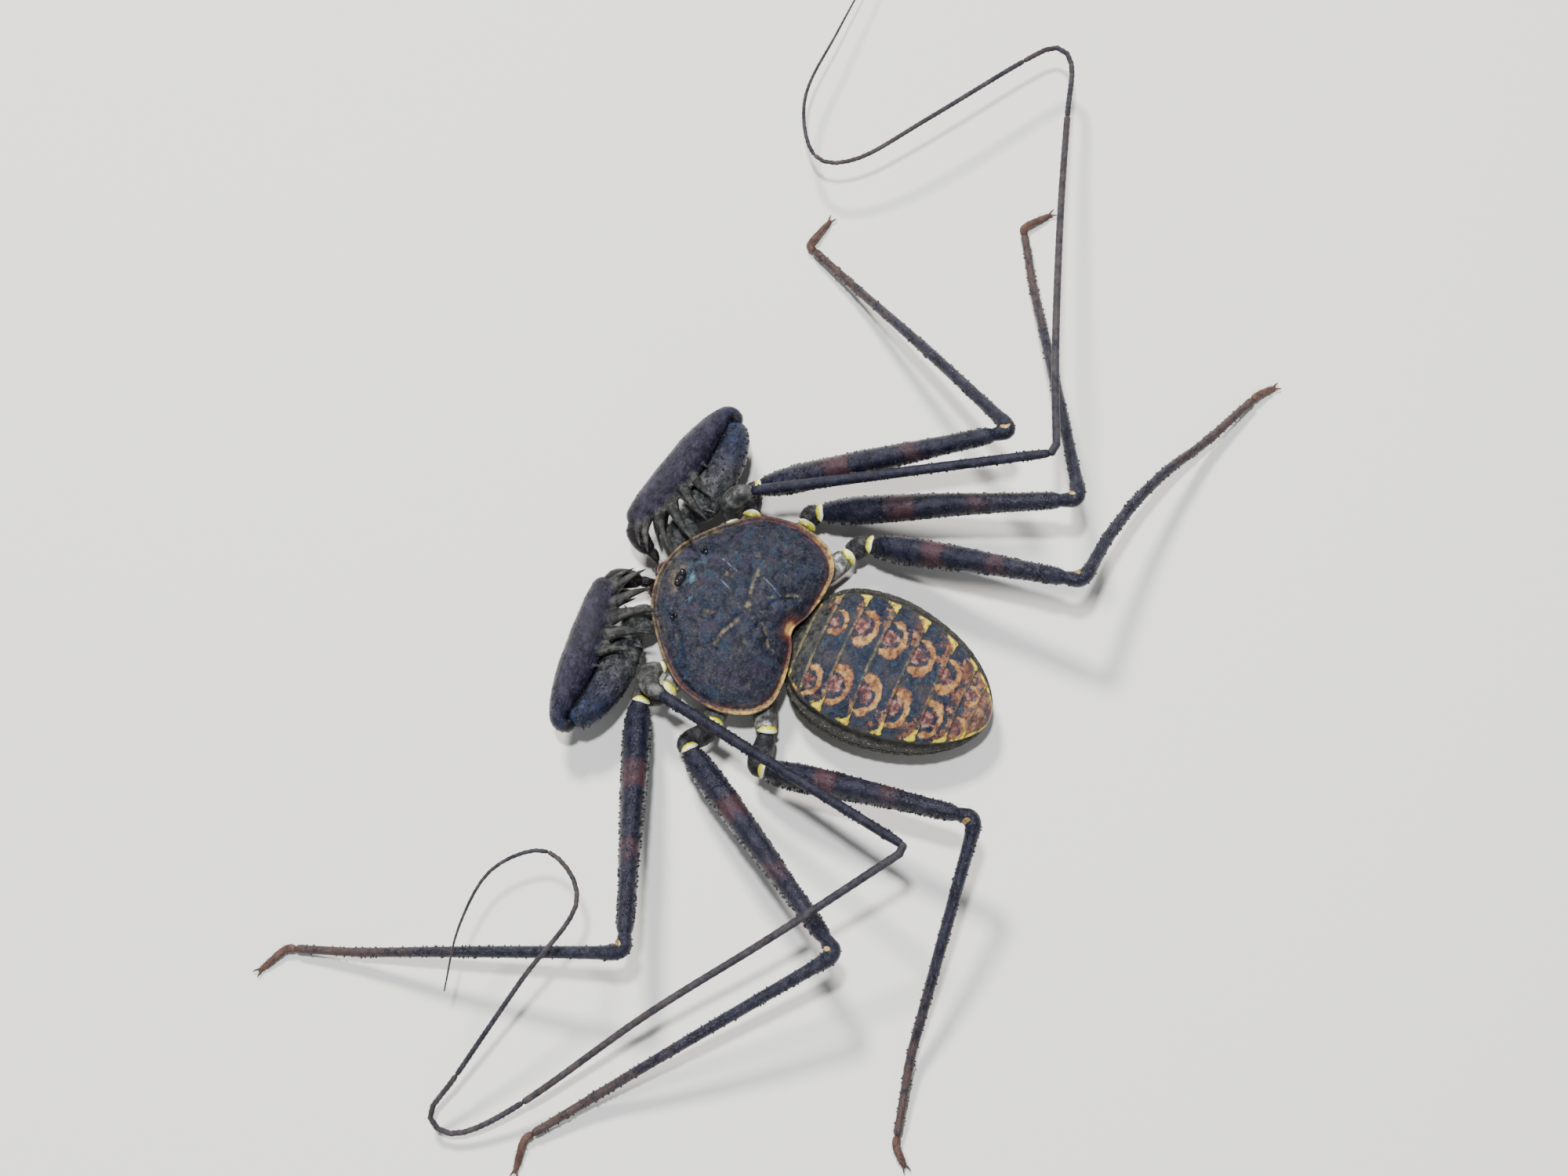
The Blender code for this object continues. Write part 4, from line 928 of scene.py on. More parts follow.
# Jaws. Two short, fat chelicerae below the front of the carapace, glossy red-brown, with a
# curved fang each and pale bristles over their ends.
jaw_route = ((0.72, -4.1, 1.98), (0.72, -5.8, 1.98), (0.72, -6.35, 1.75))
jaw_shape = ((0, 0.5, 0.5), (0.3, 0.62, 0.64), (0.85, 0.62, 0.66), (1, 0.46, 0.5))
fang_route = ((0.72, -6.2, 1.7), (0.72, -6.75, 1.3), (0.72, -6.5, 0.95))
fang_shape = ((0, 0.26, 0.26), (0.6, 0.2, 0.2), (1, 0.05, 0.05))
jaw_shell, shader, ground = cuticle("jaw_cuticle",
                                    ((0.016, 0.004, 0.004), (0.05, 0.009, 0.006), (0.14, 0.02, 0.01)),
                                    (0.06, 0.02, 0.014), 0.2, 0.25)
bristle, shader = new_material("bristle", Roughness=0.45)
link(bristle, patches(bristle, (1500,), ((0.35, (0.07, 0.035, 0.022)), (0.65, (0.2, 0.11, 0.06)))),
     shader.inputs["Base Color"])
for name, side in sides.items():
    line = side_curve(jaw_route, side, 5)
    jaw = add_limb("jaw_" + name, line, jaw_shape, 24, 0.12, (0, 0.25))
    fang = add_limb("fang", side_curve(fang_route, side, 5), fang_shape, 14, 0.08, (0, 0))
    bristles = add_hairs("jaw_" + name + "_bristles", line, jaw_shape, 130, 31 + side, 0, 0.55, 1,
                         (0.2, 0.45), 1.2, 0.012)
    join_to(jaw, fang)
    dress(jaw, jaw_shell, "jaws", "chelicera_" + name)
    dress(bristles, bristle, "jaws")


# Pincers. Each palp is folded like an arm: the thick upper arm lies behind the forearm, and
# the forearm's long spines reach back over it. The cuticle is hard, dark and set with granules.
# Each pincer is turned about its hip, in degrees
palp_pivot = Vector((3.0, -5.15, 1.85))
palp_swing = {"R": 0, "L": -8}
# Route, then half width and half depth at shares of its length
palp_segments = {
    "trochanter": (((2.2, -5.55, 1.8), (2.95, -5.9, 2.05), (3.6, -6.05, 2.35), (4.2, -5.98, 2.55)),
                   ((0, 0.8, 0.62), (0.4, 1.14, 0.84), (1, 0.95, 0.84))),
    "femur": (((4.38, -5.92, 2.66), (6.3, -5.52, 2.95), (8.8, -5.36, 3.12), (11.1, -5.78, 3.14)),
              ((0, 0.85, 0.78), (0.1, 1.12, 0.96), (0.35, 1.24, 1.06), (0.65, 1.16, 1.06), (0.86, 1.0, 0.98),
               (1, 0.66, 0.72))),
    # the forearm's first part hooks round the elbow
    "patella": (((11.1, -5.8, 3.2), (11.5, -6.1, 3.22), (11.38, -6.62, 3.28), (10.6, -6.95, 3.34),
                 (9.2, -7.26, 3.42), (6.5, -7.82, 3.45), (3.9, -8.58, 3.42), (2.35, -9.15, 3.35)),
                ((0, 0.36, 0.46), (0.058, 0.46, 0.6), (0.119, 0.6, 0.78), (0.194, 0.8, 0.98),
                 (0.26, 0.95, 1.1), (0.42, 1.2, 1.24), (0.65, 1.22, 1.18), (0.87, 0.98, 1.0),
                 (0.97, 0.7, 0.74), (1, 0.6, 0.64))),
    "tibia": (((2.5, -8.6, 3.3), (2.15, -8.66, 3.28), (1.78, -8.42, 3.22), (1.42, -7.9, 3.15),
               (1.18, -7.3, 3.1)),
              ((0, 0.6, 0.62), (0.25, 0.73, 0.7), (0.7, 0.62, 0.58), (1, 0.44, 0.44))),
    "claw": (((1.14, -7.2, 3.08), (0.9, -6.8, 3.05), (0.55, -6.5, 3.0)),
             ((0, 0.4, 0.4), (0.4, 0.32, 0.32), (1, 0.06, 0.06))),
}
# Root, length, direction seen from above, rise, and half width at the root
palp_spines = {
    "trochanter": (((3.6, -6.3, 2.0), 1.7, 255, -4, 0.3), ((2.9, -6.4, 1.9), 1.3, 262, -6, 0.26),
                   ((2.3, -6.0, 1.8), 0.8, 255, -10, 0.18)),
    "femur": (((5.1, -5.8, 3.2), 1.7, 98, 30, 0.26), ((5.3, -6.0, 2.3), 1.4, 235, -25, 0.26),
              ((6.3, -6.2, 2.4), 0.9, 245, -25, 0.16), ((6.2, -5.3, 3.6), 0.6, 96, 40, 0.14)),
    "patella": (((6.6, -6.95, 4.0), 2.6, 117, 15, 0.52), ((5.6, -7.15, 4.0), 3.2, 122, 13, 0.6),
                ((4.6, -7.55, 3.95), 3.6, 129, 12, 0.62), ((3.75, -7.9, 3.85), 3.1, 142, 13, 0.56),
                ((2.95, -8.35, 3.75), 2.8, 152, 15, 0.48), ((4.7, -7.7, 2.5), 2.2, 160, -10, 0.4),
                ((3.8, -8.1, 2.55), 2.2, 150, -12, 0.38), ((3.0, -8.6, 2.6), 1.9, 140, -14, 0.34),
                ((2.55, -8.75, 3.75), 2.1, 150, 14, 0.32),
                ((7.6, -6.75, 3.95), 0.9, 110, 22, 0.26), ((6.1, -7.0, 4.05), 0.9, 118, 25, 0.16),
                ((5.1, -7.3, 4.05), 0.9, 124, 25, 0.16), ((4.15, -7.7, 3.95), 0.95, 136, 22, 0.16)),
    "tibia": (((1.6, -8.5, 3.6), 1.3, 112, 25, 0.22), ((1.3, -8.0, 3.5), 0.9, 112, 25, 0.17),
              ((2.1, -8.8, 3.7), 0.7, 125, 30, 0.15)),
    "claw": (),
}
# Numbers of granules and hairs on each segment
palp_coats = {"trochanter": (80, 50), "femur": (330, 80), "patella": (300, 110), "tibia": (20, 60),
              "claw": (0, 50)}


def placed_curve(place, points, per_span):
    """Smooth line through the points, on the side and at the swing that the place says."""
    return curve_through([place @ Vector(point) for point in points], per_span)


def add_spine(place, root, length, heading, rise, half):
    """Curved spine with a broad root, as a thin limb that ends in a point."""
    flat = math.cos(math.radians(rise))
    way = Vector((flat * math.cos(math.radians(heading)), flat * math.sin(math.radians(heading)),
                  math.sin(math.radians(rise))))
    start = Vector(root)
    hook = Vector((-way.y, way.x, 0)) * 0.05 * length
    points = [start, start + way * length * 0.45 + hook + up * 0.05 * length, start + way * length]
    shape = ((0, half, 0.85 * half), (0.25, 0.66 * half, 0.62 * half), (0.6, 0.4 * half, 0.4 * half),
             (1, 0.05 * half, 0.05 * half))
    return add_limb("spine", placed_curve(place, points, 5), shape, 10, 0.15, (0.1, 0))


def off_axis(item, line, shape):
    """How far each point of a skin stands out of the limb's plain form."""
    spots = points_of(item)
    axis = np.array(line)
    gaps = np.linalg.norm(spots[:, None] - axis[None], axis=2)
    nearest = gaps.argmin(1)
    widths = np.array([halves_at(shape, share)[0] for share in np.linspace(0, 1, len(axis))])
    return gaps.min(1) - widths[nearest], nearest / (len(axis) - 1)


def contact_shade_mask(item, line, shape):
    """How near each point of a skin is to the surface of the segment beside it; it masks painted shade where
    the two touch.
    """
    return np.clip(1.25 - off_axis(item, line, shape)[0] / 0.16, 0, 1)


def finish_coat(name, coats, material, slot):
    """Join the granules and hairs of a limb into one piece."""
    join_to(*coats)
    coats[0].name = name
    dress(coats[0], material, slot)


arm_shell, shader, ground = cuticle("palp_cuticle",
                                    ((0.004, 0.004, 0.01), (0.011, 0.009, 0.022), (0.029, 0.025, 0.046)),
                                    (0.048, 0.041, 0.052), 0.26, 1, 3000, 1500)
uneven = mottle(arm_shell, 2300, 5, 0.7)
arm_tones = {
    # painted highlight: a blue tint near the elbow; the same mark also lowers the roughness there for real
    # gloss
    "glaze": ((0.42, (0.004, 0.006, 0.016)), (0.6, (0.016, 0.026, 0.06))),
    "grey": ((0.4, (0.012, 0.014, 0.014)), (0.5, (0.034, 0.038, 0.037)), (0.6, (0.085, 0.088, 0.08))),
    "spine": ((0.4, (0.01, 0.01, 0.011)), (0.5, (0.024, 0.024, 0.023)), (0.62, (0.058, 0.056, 0.05))),
    "tip": ((0.42, (0.003, 0.003, 0.004)), (0.62, (0.011, 0.005, 0.006))),
}
colour = layered(arm_shell, ground,
                 *((attribute(arm_shell, name), ramp(arm_shell, uneven, stops))
                   for name, stops in arm_tones.items()),
                 # painted shade: near-black where femur and patella lie against each other
                 (attribute(arm_shell, "seam", 0.9), (0.004, 0.004, 0.005)))
link(arm_shell, colour, shader.inputs["Base Color"])
link(arm_shell, ramp(arm_shell, attribute(arm_shell, "glaze"), ((0, 0.2), (1, 0.14))),
     shader.inputs["Roughness"])
arm_coat = coat_cuticle("palp_coat_cuticle",
                        ((0.006, 0.006, 0.008), (0.012, 0.011, 0.014), (0.022, 0.02, 0.024)),
                        (0.03, 0.027, 0.027), 0.28, "hair", (0.11, 0.095, 0.08))
joined_to = {"femur": "patella", "patella": "femur"}
for name, side in sides.items():
    swing = Matrix.Rotation(math.radians(palp_swing[name]), 4, "Z")
    place = (Matrix.Scale(-1, 4, (1, 0, 0)) if side < 0 else Matrix()) @ (
        Matrix.Translation(palp_pivot) @ swing @ Matrix.Translation(-palp_pivot))
    coats = []
    for number, (part, (route, shape)) in enumerate(palp_segments.items()):
        line = placed_curve(place, route, 8)
        node = "palp_" + name + "_" + part
        piece = add_limb(node + "_skin", line, shape, 24, 0.2, (0.22, 0.22 if part != "claw" else 0))
        extras = [add_spine(place, *values) for values in palp_spines[part]]
        if extras:
            join_to(piece, *extras)
            blend_together(piece, 0.05 if part in joined_to else 0.04, 2)
        proud, share = off_axis(piece, line, shape)
        bare = 0 * share
        grey = {"femur": 0.95 * np.clip(1.6 - share * 2.2, 0, 1), "trochanter": bare + 0.9}
        # painted blue highlight, with real gloss, on the femur's end and the patella's start at the elbow
        glaze = {"femur": np.clip(share * 2 - 0.9, 0, 1), "patella": 0.7 * np.clip(1 - share / 0.5, 0, 1)}
        tip = {"tibia": bare + 0.9, "claw": bare + 1}
        mark(piece, spine=np.clip((proud + 0.02) / 0.4, 0, 1) * np.clip((share - 0.2) / 0.1, 0, 1),
             grey=grey.get(part, bare), glaze=glaze.get(part, bare), tip=tip.get(part, bare))
        if part in joined_to:
            other_route, other_shape = palp_segments[joined_to[part]]
            # painted shade along the contact with the neighbouring segment
            mark(piece, seam=contact_shade_mask(piece, placed_curve(place, other_route, 8), other_shape))
        seed = 40 + 10 * number + (name == "L")
        grains, hairs = palp_coats[part]
        if grains:
            coats.append(add_grains("grains", line, shape, grains, seed, number, 0.03, 0.97,
                                    (0.05, 0.1) if part == "femur" else (0.025, 0.055), 0.6))
        coats.append(add_hairs("hairs", line, shape, hairs, seed + 5, number, 0.03, 0.97,
                               (0.08, 0.2), 1.2, 0.01))
        dress(piece, arm_shell, "palps", node)
    finish_coat("palp_" + name + "_coat", coats, arm_coat, "palps")


# Walking legs. Six slender legs of hard tubes: a short knob at the hip, a stout thigh with two
# faint red-brown bands, a long thin shin that bends at the knee, and a small foot with claws.
# Gaps between the lines of a knob and of its neighbours, and at the other joints
hip_gap, joint_gap = 0.22, 0.15
# Lengths of thigh, shin, its end and foot
leg_lengths = {"2": (16.7, 17.2, 4.0, 2.7), "3": (16.5, 17.1, 4.4, 2.6), "4": (14.05, 15.1, 4.75, 2.0)}
knob_shape = ((0, 0.6, 0.6), (0.35, 0.7, 0.72), (0.65, 0.68, 0.74), (1, 0.52, 0.6))
thigh_shape = ((0, 0.5, 0.6), (0.03, 0.66, 0.8), (0.08, 0.78, 1.0), (0.16, 0.87, 1.15), (0.3, 0.84, 1.12),
               (0.45, 0.77, 1.02), (0.6, 0.68, 0.9), (0.8, 0.57, 0.74), (0.93, 0.55, 0.66), (0.98, 0.52, 0.6),
               (1, 0.44, 0.52))
shin_shape = ((0, 0.42, 0.48), (0.03, 0.5, 0.54), (0.07, 0.5, 0.54), (0.11, 0.41, 0.45), (0.2, 0.38, 0.42),
              (0.45, 0.35, 0.39), (0.7, 0.3, 0.34), (0.79, 0.29, 0.32), (0.805, 0.33, 0.35),
              (0.82, 0.28, 0.3),
              (0.97, 0.26, 0.28), (0.985, 0.29, 0.3), (1, 0.25, 0.26))
foot_shape = ((0, 0.24, 0.25), (0.08, 0.27, 0.27), (0.28, 0.22, 0.22), (0.32, 0.26, 0.26), (0.6, 0.22, 0.22),
              (0.64, 0.24, 0.24), (0.92, 0.16, 0.16), (1, 0.09, 0.1))
# Points of a claw from the toe: ahead, aside and up
claw_points = ((-0.25, 0.06, 0), (0.1, 0.18, 0.14), (0.32, 0.24, 0.06))
claw_shape = ((0, 0.07, 0.08), (0.6, 0.05, 0.055), (1, 0.012, 0.012))
hip_height = 2.5
# Heights of the shin's end, the ankle and the toe
low_heights = (1.3, 0.55, 0.14)
# How far before the knee the thigh ends, how high thigh and shin bow, and how round the knee is
thigh_stop, thigh_bow, shin_bow, knee_round = 1.3, 0.3, 0.35, 1.1
# Hip x, y; knee height; directions seen from above of thigh, shin, its end and foot; and how far
# the shin bows sideways
legs = {
    "R2": ((-8.05, -2.75), 8.4, (120.5, -118.8, -113.7, -179.7), 0),
    "R3": ((-8.05, 1.42), 6.6, (112.6, -148.7, -149.7, 156.5), 0),
    "R4": ((-7.37, 5.23), 7.0, (98.2, 166.0, 158.3, 146.6), 0.9),
    "L2": ((7.95, -3.85), 6.3, (22.6, -68.8, -71.0, -35.6), 0),
    "L3": ((9.47, 0.27), 6.4, (58.4, -37.7, -35.9, -0.8), 0),
    "L4": ((8.65, 5.09), 7.2, (96.6, 8.2, 14.2, 38.7), 0),
}


def rounded_route(points, reach, steps=6):
    """Straight runs between the points, each corner rounded over the reach."""
    line = [Vector(points[0])]
    for before, corner, after in zip(points, points[1:], points[2:]):
        back = before - corner
        onward = after - corner
        start = corner + back.normalized() * min(reach, 0.45 * back.length)
        end = corner + onward.normalized() * min(reach, 0.45 * onward.length)
        for step in range(steps + 1):
            t = step / steps
            line.append(start * (1 - t) ** 2 + corner * 2 * t * (1 - t) + end * t ** 2)
    line.append(Vector(points[-1]))
    return line


def step_out(start, length, heading, end_height):
    """End of a straight segment that starts and ends at given heights."""
    rise = end_height - start.z
    flat = math.sqrt(length ** 2 - rise ** 2)
    turn = math.radians(heading)
    return start + Vector((flat * math.cos(turn), flat * math.sin(turn), rise))


def bowed(start, end, bow):
    middle = (start + end) / 2 + up * bow
    return curve_through((start, (start + middle * 3) / 4, middle, (end + middle * 3) / 4, end), 4)


def hip_line(coxa, side, hip, way):
    """Line of the knob at the hip, from the end of its coxa to the start of the thigh."""
    before, end_of_coxa = coxa_line(coxa, side)[-2:]
    outward = (end_of_coxa - before).normalized()
    start = end_of_coxa + outward * hip_gap
    end = hip - way * hip_gap
    reach = 0.4 * (end - start).length
    a, b, c, d = start, start + outward * reach, end - way * reach, end
    return [a * (1 - t) ** 3 + b * 3 * t * (1 - t) ** 2 + c * 3 * t * t * (1 - t) + d * t ** 3
            for t in (step / 8 for step in range(9))]


def limb_cuticle(name, tones, band_stops, band_colours, roughness=0.18):
    """Cuticle of a limb, with bands or a change of colour along it."""
    material, shader, ground = cuticle(name, tones, (0.042, 0.036, 0.036), roughness, 0.8, 3200, 1300)
    bands = ramp(material, attribute(material, "along"), band_stops)
    shifted = maths(material, "ADD", bands, past(material, blotches(material, 1900), 0.5, 0.9))
    strength = times(material, past(material, shifted, 0.4, 1.9, True), times(material, bands, 0.7))
    # the upper side of a band is paler and greyer than its flanks
    band = mix(material, times(material, maths(material, "ADD", attribute(material, "over"), 0.2), 0.8, True),
               patches(material, (2600, 4), ((0.36, band_colours[0]), (0.64, band_colours[1]))),
               band_colours[2])
    link(material, mix(material, strength, ground, band), shader.inputs["Base Color"])
    return material


leg_tones = ((0.003, 0.004, 0.011), (0.007, 0.008, 0.019), (0.017, 0.017, 0.031))
thigh_bands = ((0.25, 0), (0.32, 1), (0.39, 1), (0.45, 0), (0.58, 0), (0.64, 0.85), (0.69, 0.85), (0.76, 0))
thigh_shell = limb_cuticle("thigh_cuticle", leg_tones, thigh_bands,
                           ((0.026, 0.009, 0.01), (0.085, 0.024, 0.022), (0.06, 0.028, 0.032)))
knob_band = ((0.04, 0.03, 0.026), (0.08, 0.06, 0.05), (0.08, 0.07, 0.06))
knob_shell = limb_cuticle("knob_cuticle",
                          ((0.005, 0.006, 0.009), (0.017, 0.017, 0.022), (0.055, 0.053, 0.05)),
                          ((0, 0), (1, 0.1)), knob_band, 0.4)
shin_shell = limb_cuticle("shin_cuticle", leg_tones, ((0.2, 0), (0.6, 0.55), (0.9, 1)),
                          ((0.04, 0.022, 0.018), (0.085, 0.046, 0.035), (0.075, 0.045, 0.036)))
foot_shell = limb_cuticle("foot_cuticle", ((0.04, 0.018, 0.014), (0.07, 0.034, 0.025), (0.11, 0.058, 0.042)),
                          ((0, 0.3), (1, 0.6)), ((0.05, 0.026, 0.02), (0.11, 0.06, 0.045),
                                                 (0.1, 0.06, 0.045)), 0.42)
ochre_spot, shader = new_material("ochre_spot", Roughness=0.35)
link(ochre_spot, patches(ochre_spot, (2200, 4), ((0.4, (0.14, 0.07, 0.02)), (0.5, (0.36, 0.22, 0.055)),
                                                 (0.62, (0.5, 0.38, 0.15)))), shader.inputs["Base Color"])
leg_coat = coat_cuticle("leg_coat_cuticle",
                        ((0.006, 0.006, 0.009), (0.012, 0.011, 0.015), (0.024, 0.021, 0.026)),
                        (0.03, 0.026, 0.026), 0.28, "hair", (0.15, 0.127, 0.107))
# Turns about a limb of its two rows of small teeth
tooth_turns = (0.0, 0.16, -0.16, 0.36, math.pi, math.pi - 0.16, math.pi + 0.16, math.pi - 0.36)


def add_coat(line, shape, seed, row, grains, hairs, hair_length, grain_width, edge_teeth=0):
    """Granules, rows of small teeth and hairs over one segment of a limb."""
    coat = [add_grains("grains", line, shape, grains, seed, row, 0.01, 0.99, grain_width, 0.75)]
    if edge_teeth:
        coat.append(add_grains("teeth", line, shape, edge_teeth, seed + 1, row, 0.01, 0.97,
                               (0.045, 0.07), 1.5, tooth_turns))
    coat.append(add_hairs("hairs", line, shape, hairs, seed + 2, row, 0.01, 0.99, hair_length, 1.1, 0.012))
    return coat


for number, (name, (hip_xy, knee_height, headings, side_bow)) in enumerate(legs.items()):
    pair, side = name[1], sides[name[0]]
    stations = [Vector((*hip_xy, hip_height))]
    for length, heading, height in zip(leg_lengths[pair], headings, (knee_height, *low_heights)):
        stations.append(step_out(stations[-1], length, heading, height))
    hip, knee, shin_end, ankle, toe = stations
    way = (knee - hip).normalized()
    thigh_end = knee - way * thigh_stop
    thigh_line = bowed(hip, thigh_end, thigh_bow)
    start_way = (thigh_line[1] - thigh_line[0]).normalized()
    end_way = (thigh_line[-1] - thigh_line[-2]).normalized()
    sideways = up.cross((shin_end - knee).normalized())
    shin_points = [knee.lerp(shin_end, share)
                   + (up * shin_bow + sideways * side_bow) * 4 * share * (1 - share)
                   for share in (0.25, 0.5, 0.75)]
    shin_line = rounded_route([thigh_end + end_way * joint_gap, knee, *shin_points, shin_end, ankle],
                              knee_round)
    foot_way = (ankle - shin_end).normalized()
    foot_start = ankle + foot_way * joint_gap
    foot_line = rounded_route([foot_start, foot_start + foot_way * 0.5, toe], 0.4)
    knob_line = hip_line(pair, side, hip, start_way)
    leg = "leg_" + name + "_"
    seed = 100 + 10 * number

    skins = (("knob", knob_line, knob_shape, 24, 0.12, (0.3, 0.3), knob_shell, "trochanter"),
             ("thigh", thigh_line, thigh_shape, 28, 0.16, (0.3, 0.3), thigh_shell, "femur"),
             ("shin", shin_line, shin_shape, 20, 0.14, (0.36, 0.12), shin_shell, "tibia"))
    for skin, line, shape, faces, spacing, reach, shell, node in skins:
        dress(add_limb(leg + skin, line, shape, faces, spacing, reach), shell, "legs", leg + node)
    foot = add_limb(leg + "foot_skin", foot_line, foot_shape, 16, 0.1, (0.2, 0.0))
    toe_way = (foot_line[-1] - foot_line[-2]).normalized()
    toe_side = toe_way.cross(up).normalized()
    claws = []
    for spread in (1, -1):
        claw_line = curve_through([toe + toe_way * ahead + toe_side * spread * aside + up * rise
                                   for ahead, aside, rise in claw_points], 4)
        claws.append(add_limb("claw", claw_line, claw_shape, 8, 0.06, (0, 0)))
    join_to(foot, *claws)
    dress(foot, foot_shell, "feet", leg + "foot")
    coats = [*add_coat(knob_line, knob_shape, seed, 0, 60, 50, (0.1, 0.22), (0.035, 0.065)),
             *add_coat(thigh_line, thigh_shape, seed + 3, 1, 360, 240, (0.12, 0.26), (0.035, 0.07), 220),
             *add_coat(shin_line, shin_shape, seed + 6, 2, 240, 380, (0.1, 0.22), (0.025, 0.042), 90),
             *add_coat(foot_line, foot_shape, seed + 9, 3, 30, 110, (0.12, 0.26), (0.018, 0.03))]
    finish_coat(leg + "coat", coats, leg_coat, "legs")
    hip_rim = add_crescent(leg + "hip_rim", hip + start_way * 0.06, start_way,
                           up + Vector((0, 0.5, 0)), 0.67, 0.27, 0.11, 62)
    dress(hip_rim, joint_rim, "legs")
    inside = ((shin_points[0] - knee).normalized() - way).normalized()
    spot = add_crescent(leg + "knee_spot", knee + inside * 0.1 - way * 0.25, way,
                        inside + up * 0.9, 0.46, 0.36, 0.09, 48)
    dress(spot, ochre_spot, "legs")


# Whips. The front pair of legs are feelers, thinner than any other part and twice as long:
# a slim thigh, then a long tube of fine rings that narrows to a hair at its tip.
whip_hip = {"R": (-7.0, -2.8, 4.55), "L": (7.4, -2.4, 4.6)}
whip_knee = {"R": (-15.49, 13.8, 9.2), "L": (10.88, 15.34, 9.2)}
whip_route = {
    "R": ((-21.7, 11.2, 8.4), (-31.1, 7.8, 6.4), (-39.0, 5.2, 4.6), (-42.8, 4.0, 4.0), (-43.7, 2.6, 3.9),
          (-41.8, 1.0, 4.1), (-35.3, -3.1, 4.2), (-31.0, -6.3, 3.6), (-30.2, -9.0, 3.4), (-33.9, -11.3, 3.1),
          (-39.5, -11.4, 2.6), (-45.2, -11.3, 2.1)),
    "L": ((18.5, 10.1, 6.9), (25.5, 5.0, 4.5), (33.0, 0.2, 1.9), (36.2, -2.7, 1.0), (35.9, -4.6, 1.5),
          (33.2, -4.0, 2.7), (26.8, -2.5, 5.6), (21.5, -1.3, 7.0), (19.4, -4.2, 6.9), (21.6, -6.9, 6.2),
          (25.4, -7.35, 5.3), (29.2, -6.6, 4.3)),
}
# Points of the route at which one part of the tube ends and the next begins
whip_cuts = (3, 6, 9)
# Parts of the tube: half widths at both ends, reach into the joints, period and depth of the rings
whip_parts = {"tibia": ((0.27, 0.22), (0.2, 0.03), (0.62, 0.06)),
              "foot_1": ((0.2, 0.18), (0.03, 0.03), (0.36, 0.14)),
              "foot_2": ((0.18, 0.15), (0.03, 0.03), (0.36, 0.14)),
              "foot_3": ((0.15, 0.05), (0.03, 0), (0.36, 0.14))}
whip_thigh_stop = 0.5
whip_thigh_shape = ((0, 0.3, 0.34), (0.04, 0.36, 0.42), (0.2, 0.36, 0.42), (0.6, 0.31, 0.35),
                    (0.95, 0.3, 0.32), (1, 0.26, 0.28))
whip_knob_shape = ((0, 0.5, 0.5), (0.25, 0.68, 0.62), (0.55, 0.72, 0.64), (0.85, 0.54, 0.52), (1, 0.4, 0.4))
whip_thigh_shell = limb_cuticle("whip_thigh_cuticle", leg_tones, ((0.3, 0), (1, 0.25)),
                                ((0.04, 0.025, 0.022), (0.08, 0.045, 0.04), (0.07, 0.045, 0.04)), 0.38)
whip_shell = limb_cuticle("whip_cuticle",
                          ((0.013, 0.013, 0.02), (0.026, 0.024, 0.032), (0.048, 0.042, 0.046)),
                          ((0, 0.1), (0.3, 0.45), (1, 0.8)),
                          ((0.03, 0.02, 0.018), (0.07, 0.042, 0.034), (0.06, 0.04, 0.034)), 0.4)
whip_knob_shell = limb_cuticle("whip_knob_cuticle",
                               ((0.02, 0.021, 0.022), (0.052, 0.052, 0.05), (0.14, 0.14, 0.13)),
                               ((0, 0), (1, 0.1)), knob_band, 0.3)


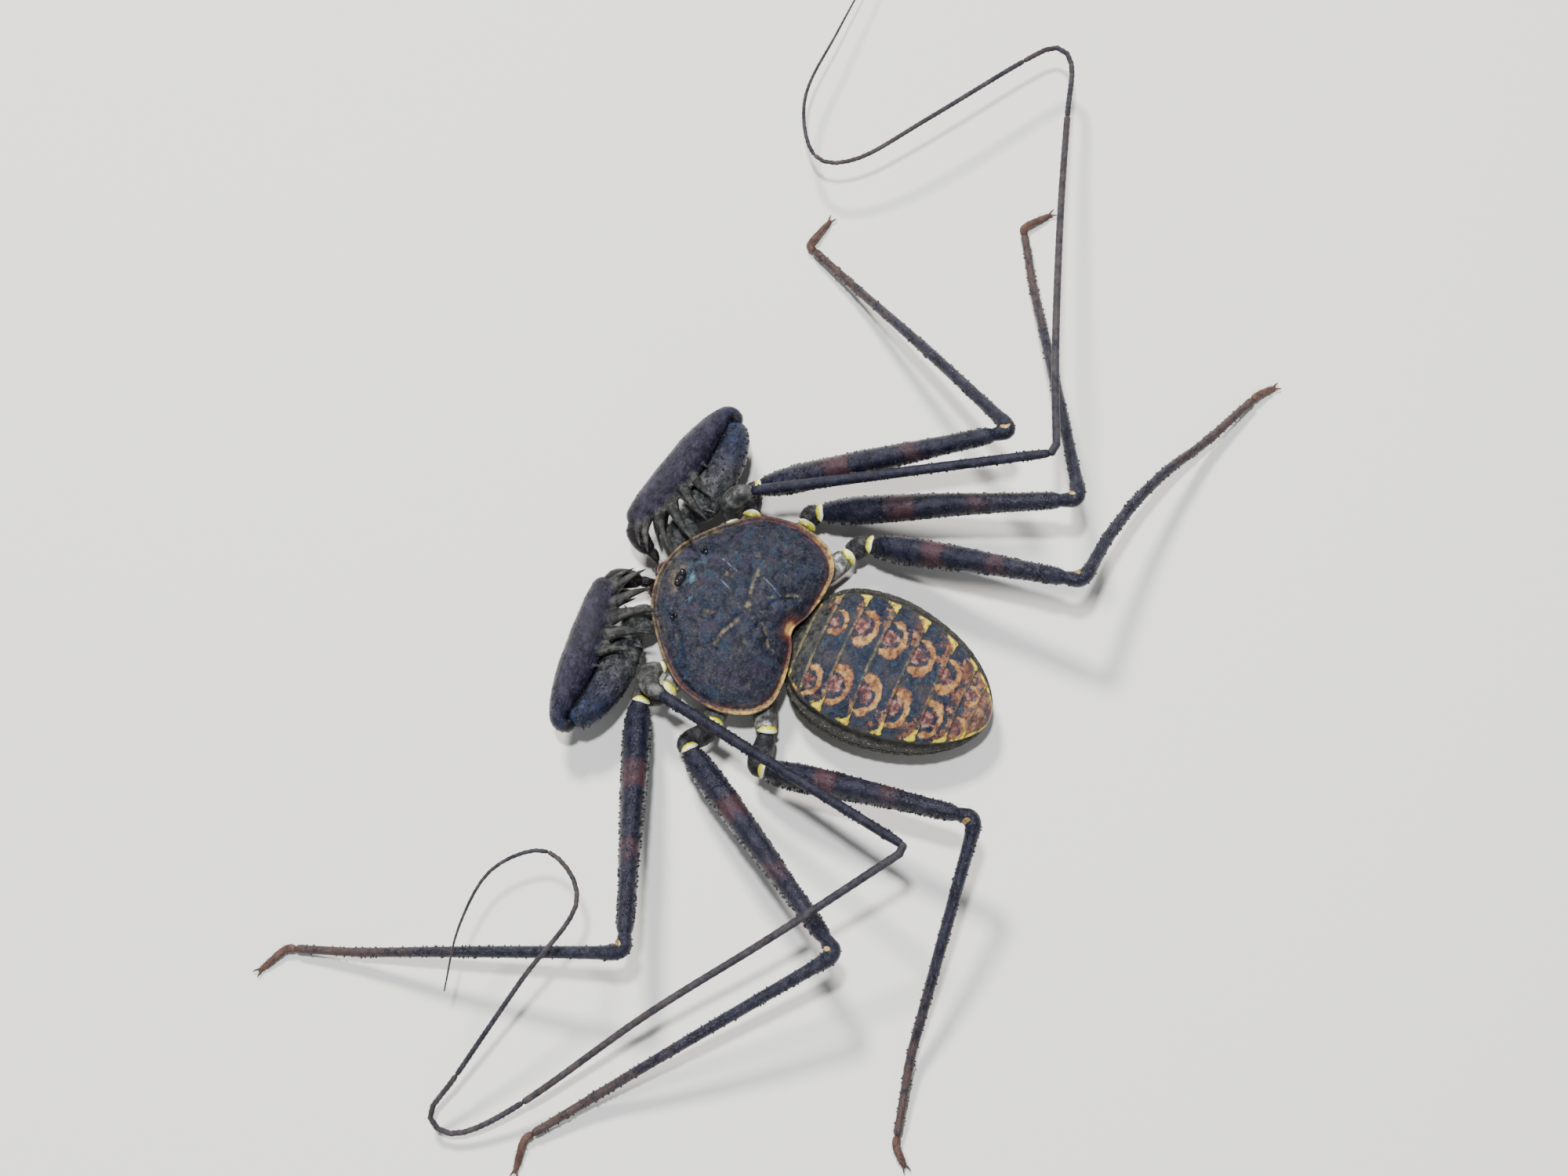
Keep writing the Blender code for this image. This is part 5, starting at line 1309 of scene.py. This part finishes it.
def ringed(item, line, period, depth):
    """Pinch a thin limb into rings along its length."""
    along = np.zeros(len(item.data.vertices), np.float32)
    item.data.attributes["along"].data.foreach_get("value", along)
    lengths = line_lengths(line)
    spots = points_of(item)
    stations = np.unique(along)
    middles = np.array([point_on(line, lengths, share * lengths[-1])[0] for share in stations])
    middle = middles[np.searchsorted(stations, along)]
    pinch = 1 - depth * (0.5 - 0.5 * np.cos(2 * math.pi * along * lengths[-1] / period))
    inner = (along > 0.002) & (along < 0.998)
    spots = np.where(inner[:, None], middle + (spots - middle) * pinch[:, None], spots)
    put_points(item, spots)


for name in ("R", "L"):
    hip, knee = Vector(whip_hip[name]), Vector(whip_knee[name])
    way = (knee - hip).normalized()
    whip = "whip_" + name + "_"
    seed = 300 + 40 * (name == "L")
    knob_line = hip_line("1", sides[name], hip, way)
    knob = add_limb(whip + "knob", knob_line, whip_knob_shape, 20, 0.1, (0.28, 0.25))
    dress(knob, whip_knob_shell, "whips", whip + "trochanter")
    thigh_end = knee - way * whip_thigh_stop
    thigh_line = [hip.lerp(thigh_end, step / 6) for step in range(7)]
    thigh = add_limb(whip + "thigh", thigh_line, whip_thigh_shape, 18, 0.2, (0.25, 0.2))
    dress(thigh, whip_thigh_shell, "whips", whip + "femur")
    coats = [*add_coat(knob_line, whip_knob_shape, seed, 0, 30, 30, (0.08, 0.16), (0.025, 0.045)),
             *add_coat(thigh_line, whip_thigh_shape, seed + 3, 1, 260, 200, (0.1, 0.2), (0.018, 0.034), 140)]
    curve = curve_through([knee, *whip_route[name]], 8)
    whole = rounded_route((thigh_end + way * joint_gap, knee, curve[4]), 0.6)[:-1] + curve[4:]
    lengths = line_lengths(whole)
    stops = [0] + [lengths[-1] - line_lengths(curve[8 * cut:])[-1] for cut in whip_cuts] + [lengths[-1]]
    for row, (part, low, high) in enumerate(zip(whip_parts, stops, stops[1:])):
        (thick, thin), reach, rings = whip_parts[part]
        steps = max(8, round((high - low) / 0.8))
        line = [point_on(whole, lengths, low + (high - low) * step / steps)[0] for step in range(steps + 1)]
        shape = ((0, thick, thick), (1, thin, thin))
        tube = add_limb(whip + part + "_tube", line, shape, 12, 0.09, reach)
        ringed(tube, line, *rings)
        dress(tube, whip_shell, "whips", whip + part)
        coats += add_coat(line, shape, seed + 6, min(2 + row, 4), 20, round((high - low) * 9), (0.07, 0.15),
                          (0.012, 0.018))
        seed += 5
    finish_coat(whip + "coat", coats, leg_coat, "whips")
